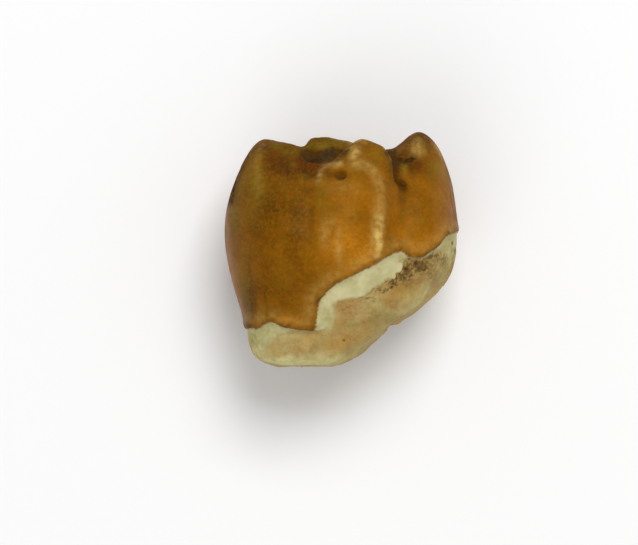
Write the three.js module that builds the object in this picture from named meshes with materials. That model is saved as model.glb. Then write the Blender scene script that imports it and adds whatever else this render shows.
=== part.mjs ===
// A fossil rodent cheek tooth: one worn upper molar, with its roots broken off short.
//
// Units are millimetres. The tooth lies on its back wall, as a loose tooth does on a table:
//   x  from the tongue side (-) to the cheek side (+)
//   y  from the broken roots (-) to the biting surface (+)
//   z  up, from the worn flat on the back wall, which rests at z = 0, to the front wall
//
// The surface is one closed skin of rings stacked along y. A ring's outline comes from four
// profiles (left, right, front and back). One ring follows the enamel's lower margin, and one
// follows the rim of the biting surface. Inside the rim the skin dips into the basin.

import * as THREE from "three";

// ---- driving dimensions ---------------------------------------------------------------------

const AXIS_HEIGHT = 1.8; // z of the tooth's long axis above the table
const ROOT_END = -2.35; // y of the broken face of the tongue-side root
const ENAMEL_LIP = 0.04; // how far the enamel stands out past the root at its margin
const CORNER_CROWN = 2.45; // superellipse exponent of the crown's plan, 2 being an ellipse
const CORNER_ROOT = 3.1; // the same at the broken end, where the outline is squarer
const CORNER_FROM = -1.9; // y between which the one gives way to the other
const CORNER_TO = -0.6;
const BASIN_FLOOR = 1.2; // y of the lowest part of the biting surface
const BASIN_CENTRE = { x: 0.02, z: -0.12 }; // where the rings of the biting surface close
const ROOT_CENTRE = -0.74; // x of the middle of the broken root end
const ROOT_BEND = -1.75; // y below which the rings' centre moves over to ROOT_CENTRE
const NECK_HEIGHT = 0.4; // how far below the margin the root draws in
const SHOULDER = 0.55; // share of the wall's height above which it leans in to the rim
const CREST_BLEND = 0.24; // rounding where a crest meets the basin
const RIM_BLEND = 0.2; // share of the way in over which the rim runs out into the basin

const COLUMNS = 92; // vertices in each ring
const ROOT_RINGS = 13; // from the broken end up to the enamel margin
const ENAMEL_RINGS = 18; // from the margin up to the rim
const BASIN_RINGS = 13; // from the rim in to the centre of the basin
const END_RINGS = 3; // across the broken end
const FINE_STEPS = 4000; // steps along a closed curve while its points are spaced out
const MARGIN_ARC_SHARE = 0.5; // how far columns crowd together where the margin is steep
const RIM_ARC_SHARE = 0.3; // the same on the rim

// ---- profiles: [y, distance from the axis] --------------------------------------------------

// The tongue side, which bulges at mid height and carries the tall enamel.
const LEFT = [
  [-2.35, -1.4], [-2.31, -1.58], [-2.19, -1.78], [-2.02, -1.87], [-1.8, -1.93], [-1.35, -1.99],
  [-0.63, -2.21], [0.3, -2.35], [1.05, -2.28], [1.77, -2.06], [2.13, -1.84], [2.35, -1.6],
];
// The cheek side. Below y = -0.2 it is the slanting break across the cheek-side roots.
const RIGHT = [
  [-2.35, -0.06], [-2.31, 0.05], [-2.19, 0.3], [-1.95, 0.56], [-1.71, 0.82], [-1.59, 0.95],
  [-1.47, 1.17], [-1.35, 1.38], [-1.11, 1.7], [-0.87, 1.95], [-0.51, 2.2], [-0.15, 2.34],
  [0.21, 2.35], [0.81, 2.28], [1.41, 2.18], [1.89, 2.03], [2.13, 1.9], [2.35, 1.7],
];
const FRONT = [
  [-2.35, 0.8], [-2.27, 0.98], [-2.1, 1.14], [-1.6, 1.4], [-0.8, 1.68], [0.1, 1.82],
  [0.9, 1.74], [1.4, 1.54], [2.0, 1.15], [2.35, 0.8],
];
const BACK = [
  [-2.35, 0.75], [-2.27, 0.92], [-2.1, 1.1], [-1.6, 1.46], [-0.9, 1.82], [-0.1, 1.92],
  [0.6, 1.86], [1.3, 1.62], [2.0, 1.2], [2.35, 0.85],
];

// ---- the enamel's lower margin: [x, y] --------------------------------------------------------
// It climbs from the tongue side to the cheek side, with a sharp step a third of the way across.

const MARGIN_START = [2.33, 0.34]; // on the cheek side
const MARGIN_FRONT = [
  [2.24, 0.31], [1.96, 0.09], [1.56, -0.13], [1.2, -0.11], [0.72, -0.36], [0.15, -0.6],
  [-0.2, -0.82], [-0.43, -1.02], [-0.52, -1.25], [-0.57, -1.58], [-0.74, -1.66], [-1.1, -1.57],
  [-1.5, -1.47], [-1.8, -1.56],
];
const MARGIN_BACK = [
  [-1.7, -1.58], [-1.1, -1.52], [-0.5, -1.34], [0.1, -1.1], [0.8, -0.74], [1.6, -0.16], [2.2, 0.26],
];

// ---- the rim of the biting surface: [x, y, z from the axis], round from the cheek side --------

const RIM = [
  [1.99, 1.78, -0.06], // notch between the two cheek-side cusps
  [1.84, 2.14, 0.22],
  [1.56, 2.35, 0.46], // front cheek-side cusp, the tallest
  [1.47, 2.06, 0.8],
  [1.36, 1.76, 1.0],
  [1.17, 1.54, 1.1], // groove of the front wall
  [0.98, 1.76, 1.16],
  [0.8, 2.06, 1.1],
  [0.42, 2.18, 1.06], // middle cusp of the front wall
  [0.16, 2.04, 1.14],
  [0.03, 1.78, 1.26],
  [-0.16, 1.66, 1.36], // low arched crest
  [-0.38, 1.52, 1.38],
  [-0.64, 1.42, 1.34], // lowest part of the front rim, where the basin opens forwards
  [-1.0, 1.48, 1.22],
  [-1.36, 1.68, 1.0],
  [-1.62, 1.98, 0.7],
  [-1.71, 2.12, 0.36], // front tongue-side cusp
  [-1.6, 2.21, 0.0],
  [-1.4, 2.19, -0.36],
  [-1.1, 2.14, -0.74], // back tongue-side cusp
  [-0.8, 2.08, -0.98],
  [-0.56, 2.19, -1.04],
  [-0.36, 2.23, -1.08], // middle cusp of the back wall
  [-0.06, 2.18, -1.12],
  [0.24, 2.16, -1.15],
  [0.58, 1.94, -1.18],
  [0.94, 1.88, -1.14],
  [1.36, 2.12, -0.94], // back cheek-side cusp
  [1.76, 1.96, -0.52],
];

// ---- swells and hollows of the walls: centre, spread and rise ---------------------------------
// side is 1 on the front wall and -1 on the back wall. A negative rise is a hollow.

const WALL_RELIEF = [
  { side: 1, x: -1.45, y: 0.1, spreadX: 0.42, spreadY: 1.3, rise: 0.1 }, // tongue-side lobe
  { side: 1, x: -0.62, y: 0.7, spreadX: 0.2, spreadY: 1.0, rise: -0.1 }, // shallow furrow beside it
  { side: 1, x: -0.1, y: 0.2, spreadX: 0.3, spreadY: 0.8, rise: 0.06 },
  { side: 1, x: 0.66, y: 0.5, spreadX: 0.26, spreadY: 1.0, rise: 0.15 }, // middle rib
  { side: 1, x: 1.8, y: 0.6, spreadX: 0.3, spreadY: 0.8, rise: 0.08 }, // cheek-side lobe
  { side: 1, x: 1.17, y: 1.26, spreadX: 0.18, spreadY: 0.36, rise: -0.2 }, // pit of the groove
  { side: 1, x: 1.18, y: 0.7, spreadX: 0.2, spreadY: 0.6, rise: -0.1 }, // groove fading downwards
  { side: 1, x: -0.06, y: 1.42, spreadX: 0.16, spreadY: 0.1, rise: -0.09 }, // under the arched crest
  { side: 1, x: 0.9, y: -1.2, spreadX: 0.3, spreadY: 0.3, rise: -0.05 }, // where the roots part
  { side: -1, x: -1.5, y: 0.6, spreadX: 0.4, spreadY: 1.0, rise: 0.06 },
  { side: -1, x: -0.74, y: 1.7, spreadX: 0.16, spreadY: 0.4, rise: -0.16 }, // back grooves
  { side: -1, x: 0.62, y: 1.55, spreadX: 0.18, spreadY: 0.4, rise: -0.18 },
  { side: -1, x: 0.8, y: -1.2, spreadX: 0.4, spreadY: 0.35, rise: -0.12 },
];

// ---- crests that run across the biting surface: [x, y, z from the axis] ------------------------

const CRESTS = [
  // front cross crest, from the tallest cusp to the tongue side, in two stretches
  [[1.56, 2.35, 0.46], [1.22, 2.08, 0.34], [0.86, 1.94, 0.24], [0.44, 1.76, 0.16], [-0.1, 1.56, 0.12]],
  [[-0.1, 1.56, 0.12], [-0.7, 1.6, 0.1], [-1.2, 1.9, 0.04], [-1.6, 2.21, 0.0]],
  // from the front middle cusp back to that crest
  [[0.42, 2.18, 1.06], [0.66, 2.0, 0.72], [0.9, 1.93, 0.42]],
  // back cross crest, from the back cheek-side cusp to the front one
  [[1.36, 2.12, -0.94], [0.92, 1.86, -0.66], [0.36, 1.6, -0.44], [-0.3, 1.56, -0.26], [-0.7, 1.6, 0.1]],
  // from the back middle cusp
  [[-0.36, 2.23, -1.08], [-0.36, 1.92, -0.66], [-0.3, 1.56, -0.26]],
];
const CREST_TOP = 0.1; // radius of a crest's rounded top
const CREST_FALL = 1.15; // steepness of its sides

// Hollows of two broken root canals in the slanting break.
const CANALS = [
  { y: -0.86, z: 0.62, spread: 0.2, depth: 0.2 },
  { y: -0.98, z: -0.6, spread: 0.22, depth: 0.22 },
];

// ---- helpers ----------------------------------------------------------------------------------

const { clamp, lerp, smoothstep } = THREE.MathUtils;

// A smooth function through [t, value] pairs with rising t.
function smoothThrough(pairs) {
  const ts = pairs.map((p) => p[0]);
  const spline = new THREE.CubicInterpolant(ts, pairs.map((p) => p[1]), 1);
  return (t) => spline.evaluate(clamp(t, ts[0], ts[ts.length - 1]))[0];
}

const leftAt = smoothThrough(LEFT);
const rightAt = smoothThrough(RIGHT);
const frontAt = smoothThrough(FRONT);
const backAt = smoothThrough(BACK);

function bell(u, v) {
  return Math.exp(-(u * u + v * v));
}

// The larger of two heights, with the crease between them rounded over this blend.
function smoothMax(a, b, blend) {
  const near = Math.max(0, blend - Math.abs(a - b));
  return Math.max(a, b) + (near * near) / (4 * blend);
}

// The ring's outline at height y, about an axis that moves over to the long root near its end.
function outlineAt(y) {
  const centre = ROOT_CENTRE * smoothstep(-y, -ROOT_BEND, -ROOT_END);
  const corner = lerp(CORNER_ROOT, CORNER_CROWN, smoothstep(y, CORNER_FROM, CORNER_TO));
  const [left, right] = [centre - leftAt(y), rightAt(y) - centre];
  return { centre, corner, left, right, front: frontAt(y), back: backAt(y) };
}

const toPoint = ([x, y, z]) => new THREE.Vector3(x, y, z);

// A point of the outer wall, at this angle round the ring. inset takes it inwards.
function wallPoint(angle, y, inset) {
  const c = Math.cos(angle);
  const s = Math.sin(angle);
  const side = s >= 0 ? 1 : -1;
  const ring = outlineAt(y);
  const across = Math.abs(c) / (c > 0 ? ring.right : ring.left);
  const deep = Math.abs(s) / (side > 0 ? ring.front : ring.back);
  const reach = Math.pow(Math.pow(across, ring.corner) + Math.pow(deep, ring.corner), -1 / ring.corner);
  const point = new THREE.Vector3(ring.centre + (reach - inset) * c, y, (reach - inset) * s);
  const facing = smoothstep(Math.abs(s), 0.1, 0.5); // relief fades out round the two ends
  for (const r of WALL_RELIEF) {
    if (r.side !== side) continue;
    const share = bell((point.x - r.x) / r.spreadX, (y - r.y) / r.spreadY);
    point.z += side * r.rise * share * facing;
  }
  const slanting = smoothstep(c, 0.2, 0.7) * smoothstep(-y, 0.2, 0.5);
  for (const r of CANALS) {
    point.x -= r.depth * slanting * bell((y - r.y) / r.spread, (point.z - r.z) / r.spread);
  }
  return point;
}

// The wall point at height y that has this x, on the front (1) or back (-1) wall.
function wallPointAtX(x, y, side) {
  const ring = outlineAt(y);
  const half = x > ring.centre ? ring.right : ring.left;
  const across = clamp(Math.abs(x - ring.centre) / half, 0, 0.999);
  const wall = side > 0 ? ring.front : ring.back;
  const z = side * wall * Math.pow(1 - Math.pow(across, ring.corner), 1 / ring.corner);
  return wallPoint(Math.atan2(z, x - ring.centre), y, 0);
}

// One point to a column along a closed curve that starts near angle 0. With an arcShare of 0 the
// columns are evenly turned, and with 1 they are evenly spaced along the curve.
function pointsRound(controls, arcShare) {
  const curve = new THREE.CatmullRomCurve3(controls, true, "centripetal");
  const fine = curve.getPoints(FINE_STEPS);
  const lengths = [0];
  for (let i = 1; i < fine.length; i++) {
    lengths.push(lengths[i - 1] + fine[i].distanceTo(fine[i - 1]));
  }
  const whole = lengths[lengths.length - 1];
  const turn = 2 * Math.PI;
  const progress = fine.map((p, i) => {
    const arc = lengths[i] / whole;
    const angle = Math.atan2(p.z, p.x - outlineAt(p.y).centre) / turn;
    return lerp(angle + Math.round(arc - angle), arc, arcShare);
  });
  let at = 0;
  return Array.from({ length: COLUMNS }, (_, column) => {
    while (progress[at] < column / COLUMNS) at++;
    return fine[at];
  });
}

// The height of the biting surface: its floor, and the crests' sides where they stand higher.
function bitingHeight(x, z, crests) {
  let height = BASIN_FLOOR;
  for (const crest of crests) {
    let side = -Infinity;
    for (let i = 1; i < crest.length; i++) {
      const [a, b] = [crest[i - 1], crest[i]];
      const along = (x - a.x) * (b.x - a.x) + (z - a.z) * (b.z - a.z);
      const t = clamp(along / ((b.x - a.x) ** 2 + (b.z - a.z) ** 2), 0, 1);
      const away = Math.hypot(x - lerp(a.x, b.x, t), z - lerp(a.z, b.z, t));
      const fall = CREST_FALL * (Math.hypot(away, CREST_TOP) - CREST_TOP);
      side = Math.max(side, lerp(a.y, b.y, t) - fall);
    }
    height = smoothMax(height, side, CREST_BLEND);
  }
  return height;
}

// ---- the rings --------------------------------------------------------------------------------

const marginControls = [
  wallPoint(0, MARGIN_START[1], 0),
  ...MARGIN_FRONT.map(([x, y]) => wallPointAtX(x, y, 1)),
  ...MARGIN_BACK.map(([x, y]) => wallPointAtX(x, y, -1)),
];
const margin = pointsRound(marginControls, MARGIN_ARC_SHARE);
const rim = pointsRound(RIM.map(toPoint), RIM_ARC_SHARE);

// The angle of a curve's point, turned by whole turns to lie nearest to the reference.
function angleNear(point, reference) {
  const turn = 2 * Math.PI;
  const angle = Math.atan2(point.z, point.x - outlineAt(point.y).centre);
  return angle + turn * Math.round((reference - angle) / turn);
}

const columns = margin.map((low, i) => {
  const plain = (2 * Math.PI * i) / COLUMNS;
  const high = rim[i];
  const [atMargin, atRim] = [angleNear(low, plain), angleNear(high, plain)];
  return { plain, atMargin, atRim, marginY: low.y, rim: high };
});

const rings = [];

// Across the broken end of the root, which is flat.
for (let k = 1; k <= END_RINGS; k++) {
  rings.push(columns.map((c) => {
    const edge = wallPoint(c.plain, ROOT_END, 0);
    edge.x = lerp(ROOT_CENTRE, edge.x, k / END_RINGS);
    edge.z *= k / END_RINGS;
    return edge;
  }));
}

// Up the root, which draws in just under the enamel.
for (let k = 1; k <= ROOT_RINGS; k++) {
  const share = k / ROOT_RINGS;
  rings.push(columns.map((c) => {
    const y = lerp(ROOT_END, c.marginY, share);
    const angle = lerp(c.plain, c.atMargin, smoothstep(share, 0, 1));
    return wallPoint(angle, y, ENAMEL_LIP * smoothstep(y, c.marginY - NECK_HEIGHT, c.marginY));
  }));
}

// Up the enamel to the rim. Near the rim the wall leans in to meet the cusps.
for (let k = 0; k <= ENAMEL_RINGS; k++) {
  const share = k / ENAMEL_RINGS;
  rings.push(columns.map((c) => {
    const y = lerp(c.marginY, c.rim.y, share);
    const point = wallPoint(lerp(c.atMargin, c.atRim, smoothstep(share, 0, 1)), y, 0);
    const lean = wallPoint(c.atRim, c.rim.y, 0).sub(c.rim);
    return point.addScaledVector(lean, -smoothstep(share, SHOULDER, 1));
  }));
}

// Inside the rim the skin drops into the basin, with crests running in from the cusps.
const crests = [[...rim, rim[0]], ...CRESTS.map((crest) => crest.map(toPoint))];
for (let k = 1; k < BASIN_RINGS; k++) {
  const share = k / BASIN_RINGS;
  rings.push(rim.map((edge) => {
    const x = lerp(edge.x, BASIN_CENTRE.x, share);
    const z = lerp(edge.z, BASIN_CENTRE.z, share);
    const y = lerp(edge.y, bitingHeight(x, z, crests), smoothstep(share, 0, RIM_BLEND));
    return new THREE.Vector3(x, y, z);
  }));
}

// ---- the skin ---------------------------------------------------------------------------------

// Lifts a point to its height above the table, and wears the back wall flat where it rests.
function settle(point) {
  return new THREE.Vector3(point.x, point.y, Math.max(0, point.z + AXIS_HEIGHT));
}

const positions = [];
for (const ring of rings) {
  for (const point of ring) positions.push(...settle(point).toArray());
}
const rootMiddle = rings.length * COLUMNS;
const basinMiddle = rootMiddle + 1;
positions.push(...settle(new THREE.Vector3(ROOT_CENTRE, ROOT_END, 0)).toArray());
const innermost = rings[rings.length - 1];
const floorY = innermost.reduce((sum, p) => sum + p.y, 0) / COLUMNS;
positions.push(...settle(new THREE.Vector3(BASIN_CENTRE.x, floorY, BASIN_CENTRE.z)).toArray());

const faces = [];
for (let i = 0; i < COLUMNS; i++) {
  const next = (i + 1) % COLUMNS;
  faces.push(rootMiddle, i, next);
  for (let r = 0; r + 1 < rings.length; r++) {
    const below = r * COLUMNS;
    const above = below + COLUMNS;
    faces.push(below + i, above + i, above + next);
    faces.push(below + i, above + next, below + next);
  }
  const last = (rings.length - 1) * COLUMNS;
  faces.push(last + i, basinMiddle, last + next);
}

const skin = new THREE.BufferGeometry();
skin.setAttribute("position", new THREE.Float32BufferAttribute(positions, 3));
skin.setIndex(faces);
skin.computeVertexNormals();

const enamel = new THREE.MeshStandardMaterial({ color: 0x8a5a1c, roughness: 0.45, metalness: 0 });
const tooth = new THREE.Mesh(skin, enamel);
tooth.name = "tooth";

const group = new THREE.Group();
group.add(tooth);

export default group;
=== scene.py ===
# %% [markdown]
# # A fossil rodent tooth
#
# The tooth is a single upper cheek tooth, under 5 mm each way. It lies on its back wall, with the
# broken roots towards -Y and the biting surface towards +Y. What the eye sees is a glossy,
# amber-brown enamel cap over a chalky band and a dull, tan root, all in one hard body.
#
# The measured solid is loaded as a fixed frame. It already has the right outline, cusps and
# furrows, so the skin of the finished tooth starts as a copy of it, and only fine relief is added.

# %% Load the frame
import math

import bpy
import numpy as np
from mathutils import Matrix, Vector, noise
from mathutils.bvhtree import BVHTree


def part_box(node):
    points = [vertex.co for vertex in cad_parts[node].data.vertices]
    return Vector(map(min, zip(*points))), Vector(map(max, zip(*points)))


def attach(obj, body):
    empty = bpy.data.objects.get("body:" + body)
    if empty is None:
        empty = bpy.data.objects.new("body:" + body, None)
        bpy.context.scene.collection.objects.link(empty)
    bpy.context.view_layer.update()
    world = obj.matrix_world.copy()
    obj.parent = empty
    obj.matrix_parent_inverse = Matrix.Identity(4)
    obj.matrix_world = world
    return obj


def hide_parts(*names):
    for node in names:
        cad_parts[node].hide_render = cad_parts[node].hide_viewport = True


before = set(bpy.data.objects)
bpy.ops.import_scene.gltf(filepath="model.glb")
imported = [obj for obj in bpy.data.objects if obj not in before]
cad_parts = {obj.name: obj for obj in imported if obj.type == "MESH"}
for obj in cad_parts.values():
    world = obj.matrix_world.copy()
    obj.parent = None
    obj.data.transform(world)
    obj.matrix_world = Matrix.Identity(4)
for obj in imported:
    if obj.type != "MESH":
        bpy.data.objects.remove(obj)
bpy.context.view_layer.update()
low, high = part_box("tooth")
print("solid, mm:", [round(1000 * (b - a), 2) for a, b in zip(low, high)])

# %% [markdown]
# ## A copy to work on
#
# The solid arrives as loose triangles in metres. Blender's voxel remesher works no finer than a
# tenth of a millimetre, which is far too coarse here, so the copy is made a thousand times larger.
# One unit is then one millimetre, and the tooth goes back to its real size at the end.

# %% Copy and merge
ENLARGED = 1000
WELD = 0.002  # corners closer together than this become one, in mm

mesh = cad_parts["tooth"].data.copy()
mesh.materials.clear()
tooth = bpy.data.objects.new("tooth_skin", mesh)
bpy.context.collection.objects.link(tooth)


def only(piece):
    """Makes this the one selected object, because operators act on all that is selected."""
    bpy.ops.object.select_all(action="DESELECT")
    piece.select_set(True)
    bpy.context.view_layer.objects.active = piece


def resize(piece, factor):
    """Scales a piece about the origin and applies it, so that the size is in its mesh."""
    only(piece)
    piece.scale = (factor, factor, factor)
    bpy.ops.object.transform_apply(location=False, rotation=False, scale=True)


resize(tooth, ENLARGED)
bpy.ops.object.mode_set(mode="EDIT")
bpy.ops.mesh.select_all(action="SELECT")
bpy.ops.mesh.remove_doubles(threshold=WELD)
bpy.ops.mesh.tris_convert_to_quads()
bpy.ops.object.mode_set(mode="OBJECT")
print("merged copy:", len(mesh.vertices), "vertices")

# %% [markdown]
# ## An even skin
#
# The copy's faces crowd together in the groove and at the middle of the biting surface. Relief
# needs vertices that are evenly spread, so the copy is rounded by one subdivision, wrapped again
# in small even squares by the voxel remesher, and smoothed to lose the remesher's tiny steps.

# %% Subdivide, remesh and smooth
VOXEL = 0.0335  # spacing of the new vertices, in mm


def finish_with(piece, kind, **settings):
    """Adds a modifier with these settings and applies it."""
    only(piece)
    modifier = piece.modifiers.new(kind.lower(), kind)
    for name, value in settings.items():
        setattr(modifier, name, value)
    bpy.ops.object.modifier_apply(modifier=modifier.name)


finish_with(tooth, "SUBSURF", levels=1, render_levels=1)
finish_with(tooth, "REMESH", mode="VOXEL", voxel_size=VOXEL)
finish_with(tooth, "SMOOTH", factor=0.5, iterations=5)
bpy.ops.object.shade_smooth()
mesh = tooth.data
count = len(mesh.vertices)
print("even skin:", count, "vertices,", 2 * len(mesh.polygons), "triangles")

# %% [markdown]
# ## Tools for carving
#
# By hand this stage would be sculpting. A script has no brush, so it moves vertices along their
# normals instead: outwards for a ridge, inwards for a groove. A brush stroke becomes a line that
# is drawn as seen from one side of the tooth and dropped on to the surface. The mesh is read as
# arrays with a row for each vertex, because one sum on an array replaces a slow loop.

# %% Read the skin
AXIS = 1.8  # height of the tooth's long axis above the table, in mm
REST_FLAT = (0.01, 0.13)  # heights between which the skin comes free of the flat it rests on

ends = np.empty(2 * len(mesh.edges), np.int32)
mesh.edges.foreach_get("vertices", ends)
ends = ends.reshape(-1, 2)
neighbours = np.bincount(ends.ravel(), minlength=count)
corners = np.empty(len(mesh.loops), np.int32)
mesh.loops.foreach_get("vertex_index", corners)
squares = corners.reshape(-1, 4).tolist()  # the remesher makes nothing but four-sided faces


def read(values, name):
    """A mesh collection's vectors, as an array with a row for each vertex."""
    flat = np.empty(3 * len(values), np.float32)
    values.foreach_get(name, flat)
    return flat.reshape(-1, 3).astype(float)


def place():
    """Where the vertices are now."""
    return read(mesh.vertices, "co")


spacing = np.linalg.norm(place()[ends[:, 0]] - place()[ends[:, 1]], axis=1)
print("vertices lie", spacing.mean().round(3), "mm apart")

# %% Even out values over the skin
def blur(values, times):
    """Averages a value, or rows of values, with those of the neighbouring vertices."""
    values = np.array(values, float)
    rows = values.reshape(count, -1)
    a, b = ends[:, 0], ends[:, 1]
    for _ in range(times):
        for k in range(rows.shape[1]):
            column = rows[:, k]
            sums = np.bincount(a, column[b], count) + np.bincount(b, column[a], count)
            rows[:, k] = 0.5 * column + 0.5 * sums / neighbours
    return rows.reshape(values.shape)


def normal(evened=0):
    """The vertices' normals, evened out over their neighbours this many times."""
    rows = blur(read(mesh.vertex_normals, "vector"), evened)
    return rows / np.linalg.norm(rows, axis=1)[:, None]


print("the vertices face, on average:", normal().mean(0).round(2))

# %% Move the skin
def put(points):
    """Writes the vertices' places, and never lets one sink below the table."""
    points[:, 2] = np.maximum(points[:, 2], 0)
    mesh.vertices.foreach_set("co", points.astype(np.float32).ravel())
    mesh.update()


def push(amount, evened=0):
    """Moves each vertex along its normal. The flat that the tooth rests on keeps its place."""
    points = place()
    free = np.clip(np.interp(points[:, 2], REST_FLAT, (0, 1)), 0, 1)
    put(points + normal(evened) * (amount * free)[:, None])


def soften(amount, times):
    """Evens out the skin where the amount is above 0, as wear does."""
    points = place()
    put(points + (blur(points, times) - points) * amount[:, None])


print("vertices on the flat it rests on:", np.sum(place()[:, 2] < REST_FLAT[0]))

# %% Soft steps and bells
def ramp(values, start, end):
    """0 at start, 1 at end, with a soft S between."""
    t = np.clip((np.asarray(values, float) - start) / (end - start), 0, 1)
    return t * t * (3 - 2 * t)


def bell(distance, width):
    """1 at no distance, and falling softly to nearly 0 at twice the width."""
    return np.exp(-((distance / width) ** 2))


print("a ramp at a quarter, a half and three quarters:", ramp([0.25, 0.5, 0.75], 0, 1).round(2))

# %% Lumps
def cloudy(points, size, octaves, seed):
    """Smooth noise of about -1 to 1, with lumps of about this size in mm."""
    shift = Vector((seed * 7.3, seed * 3.1, seed * 5.7))
    basis = "PERLIN_ORIGINAL"
    return np.array(
        [noise.fractal(Vector(p) / size + shift, 1.0, 2.0, octaves, noise_basis=basis) for p in points]
    )


sample = cloudy(place()[::50], 0.5, 2, 0)
print("lumps of noise run from", sample.min().round(2), "to", sample.max().round(2))

# %% [markdown]
# ## The front rim
#
# The front wall rises to a rim that runs from the tongue-side cusp to the middle one. Behind it
# lies a basin, so on the real tooth the rim hides the basin's floor from the front. The solid
# keeps this rim low. Pulling the edge up by hand would do. Here a roof-shaped ridge is drawn in
# numbers, steep in front and gentler behind, and every vertex under the roof rises to it. Then it
# is worn round.

# %% Raise the front rim
RIM_X = [-1.62, -1.5, -1.4, -1.3, -1.2, -1.0, -0.9, -0.84, -0.8, -0.5, -0.2, 0.0, 0.16]
RIM_Z = [0.3, 0.55, 0.62, 0.7, 0.78, 0.92, 0.98, 1.02, 1.04, 1.12, 1.12, 1.08, 1.04]  # from the axis
RIM_TOP = [2.11, 2.165, 2.165, 2.155, 2.145, 2.11, 2.085, 2.05, 1.77, 1.74, 1.76, 1.84, 1.96]
FRONT_SLOPE = 1.7
BACK_SLOPE = 1.3
TONGUE_END = (-1.75, -1.5)  # the stretch of x in which the ridge rises out of the wall
MIDDLE_END = (0.25, -0.05)
SHOULDER = 0.9  # nothing below this height is moved
RIM_WEAR = 18  # how many times the ridge is evened out

points = place()
rim_z = np.interp(points[:, 0], RIM_X, RIM_Z)
rim_top = np.interp(points[:, 0], RIM_X, RIM_TOP)
beyond = points[:, 2] - AXIS - rim_z  # how far in front of the rim a vertex lies
ridge = rim_top - np.where(beyond > 0, FRONT_SLOPE, BACK_SLOPE) * np.abs(beyond)
in_reach = ramp(points[:, 0], *TONGUE_END) * ramp(points[:, 0], *MIDDLE_END)
in_reach = in_reach * (points[:, 1] > SHOULDER) * (normal(6)[:, 1] > 0.02)
lift = np.maximum(ridge - points[:, 1], 0) * in_reach
points[:, 1] += lift
put(points)
soften(ramp(blur(lift > 0.01, 10), 0.02, 0.3), RIM_WEAR)
before_rim = ramp(blur(beyond, 6), -0.12, 0.02) * ramp(-points[:, 0], -0.1, 0.1)
print("rim raised by up to", lift.max().round(2), "mm")

# %% [markdown]
# ## Drawing on the skin
#
# Every line on the tooth is given by a few points on one of its six sides. A curve is
# passed through them, and each of its points falls on to the skin as a ray. Turbulence makes a
# line wander a little, as nothing grows quite straight. A stroke then raises or cuts the skin
# along the line, a dab does so at one point, and a patch is a soft oval that colours are painted
# with.

# %% Sides and curves
# The direction that each side faces, and the two coordinates that a line drawn on it is given in.
SIDES = {
    "front": ((0, 0, 1), (0, 1)),
    "back": ((0, 0, -1), (0, 1)),
    "cheek": ((1, 0, 0), (2, 1)),
    "tongue": ((-1, 0, 0), (2, 1)),
    "biting": ((0, 1, 0), (0, 2)),
    "root": ((0, -1, 0), (0, 2)),
}
STEP = 0.02  # spacing of a drawn line's points, in mm


def smooth_line(controls):
    """A Catmull-Rom curve through the given points, as closely spaced rows."""
    p = np.array(controls, float)
    p = np.vstack([2 * p[0] - p[1], p, 2 * p[-1] - p[-2]])
    rows = []
    for i in range(1, len(p) - 2):
        length = np.linalg.norm(p[i + 1, :2] - p[i, :2])
        for t in np.arange(0, 1, STEP / max(length, STEP)):
            a = 2 * p[i] + t * (p[i + 1] - p[i - 1])
            b = 2 * p[i - 1] - 5 * p[i] + 4 * p[i + 1] - p[i + 2]
            c = 3 * p[i] - p[i - 1] - 3 * p[i + 1] + p[i + 2]
            rows.append(0.5 * (a + t * t * b + t**3 * c))
    return np.array(rows + [p[-2]])


print("sides to draw on:", ", ".join(SIDES))

# %% Drop a line on the skin
FAR = 8.0  # where the rays that drop a line start, in mm from the axis
WANDER_SEED = 1  # without a seed, turbulence starts from the clock and differs in each run

noise.seed_set(WANDER_SEED)
skin_now = BVHTree.FromPolygons(place().tolist(), squares)


def lay_on(controls, side, wander=0.0):
    """Drops a line drawn on one side on to the skin. Heights are from the axis."""
    facing, axes = SIDES[side]
    towards = -Vector(facing)
    flat = smooth_line(controls)
    path = []
    for row in flat:
        start = Vector(facing) * FAR
        start[axes[0]], start[axes[1]] = row[0], row[1]
        start += wander * noise.turbulence_vector(start * 3, 3, False)
        start.z += AXIS
        hit = skin_now.ray_cast(start, towards)[0]
        if hit is None:
            hit = skin_now.find_nearest(start + towards * FAR)[0]
        path.append(hit)
    return np.array(path)


print("rays are cast on", len(squares), "faces")

# %% Paint soft ovals
evened = normal(20)


def patch(side, x, y, reach_x, reach_y, strength):
    """A soft oval on the skin that faces one side. Heights are from the axis."""
    facing, axes = SIDES[side]
    points = place() - [0, 0, AXIS]
    u = (points[:, axes[0]] - x) / reach_x
    v = (points[:, axes[1]] - y) / reach_y
    faces = ramp(evened @ np.array(facing, float), 0.0, 0.35)
    return strength * np.exp(-(u * u + v * v)) * faces


def painted(patches):
    """All of a list's patches together. Where they overlap, the strongest counts."""
    strongest = np.zeros(count)
    for row in patches:
        strongest = np.maximum(strongest, patch(*row))
    return strongest


print("skin that faces front:", round(100 * np.mean(evened[:, 2] > 0.5)), "%")

# %% Strokes and dabs
EVENED = 6  # how far the direction of a stroke is evened out, so that deep cuts stay clean
BATCH = 4000  # how many vertices are measured at a time, to spare memory


def near(path, reach):
    """Vertices within reach of a path: which they are, how far off, and how far along, 0 to 1."""
    points = place()
    inside = np.all((points > path.min(0) - reach) & (points < path.max(0) + reach), axis=1)
    chosen = np.flatnonzero(inside)
    away = np.empty(len(chosen))
    along = np.empty(len(chosen))
    for first in range(0, len(chosen), BATCH):
        rows = slice(first, first + BATCH)
        gaps = np.linalg.norm(points[chosen[rows], None] - path[None], axis=2)
        away[rows] = gaps.min(1)
        along[rows] = gaps.argmin(1) / max(len(path) - 1, 1)
    keep = away < reach
    return chosen[keep], away[keep], along[keep]


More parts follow.
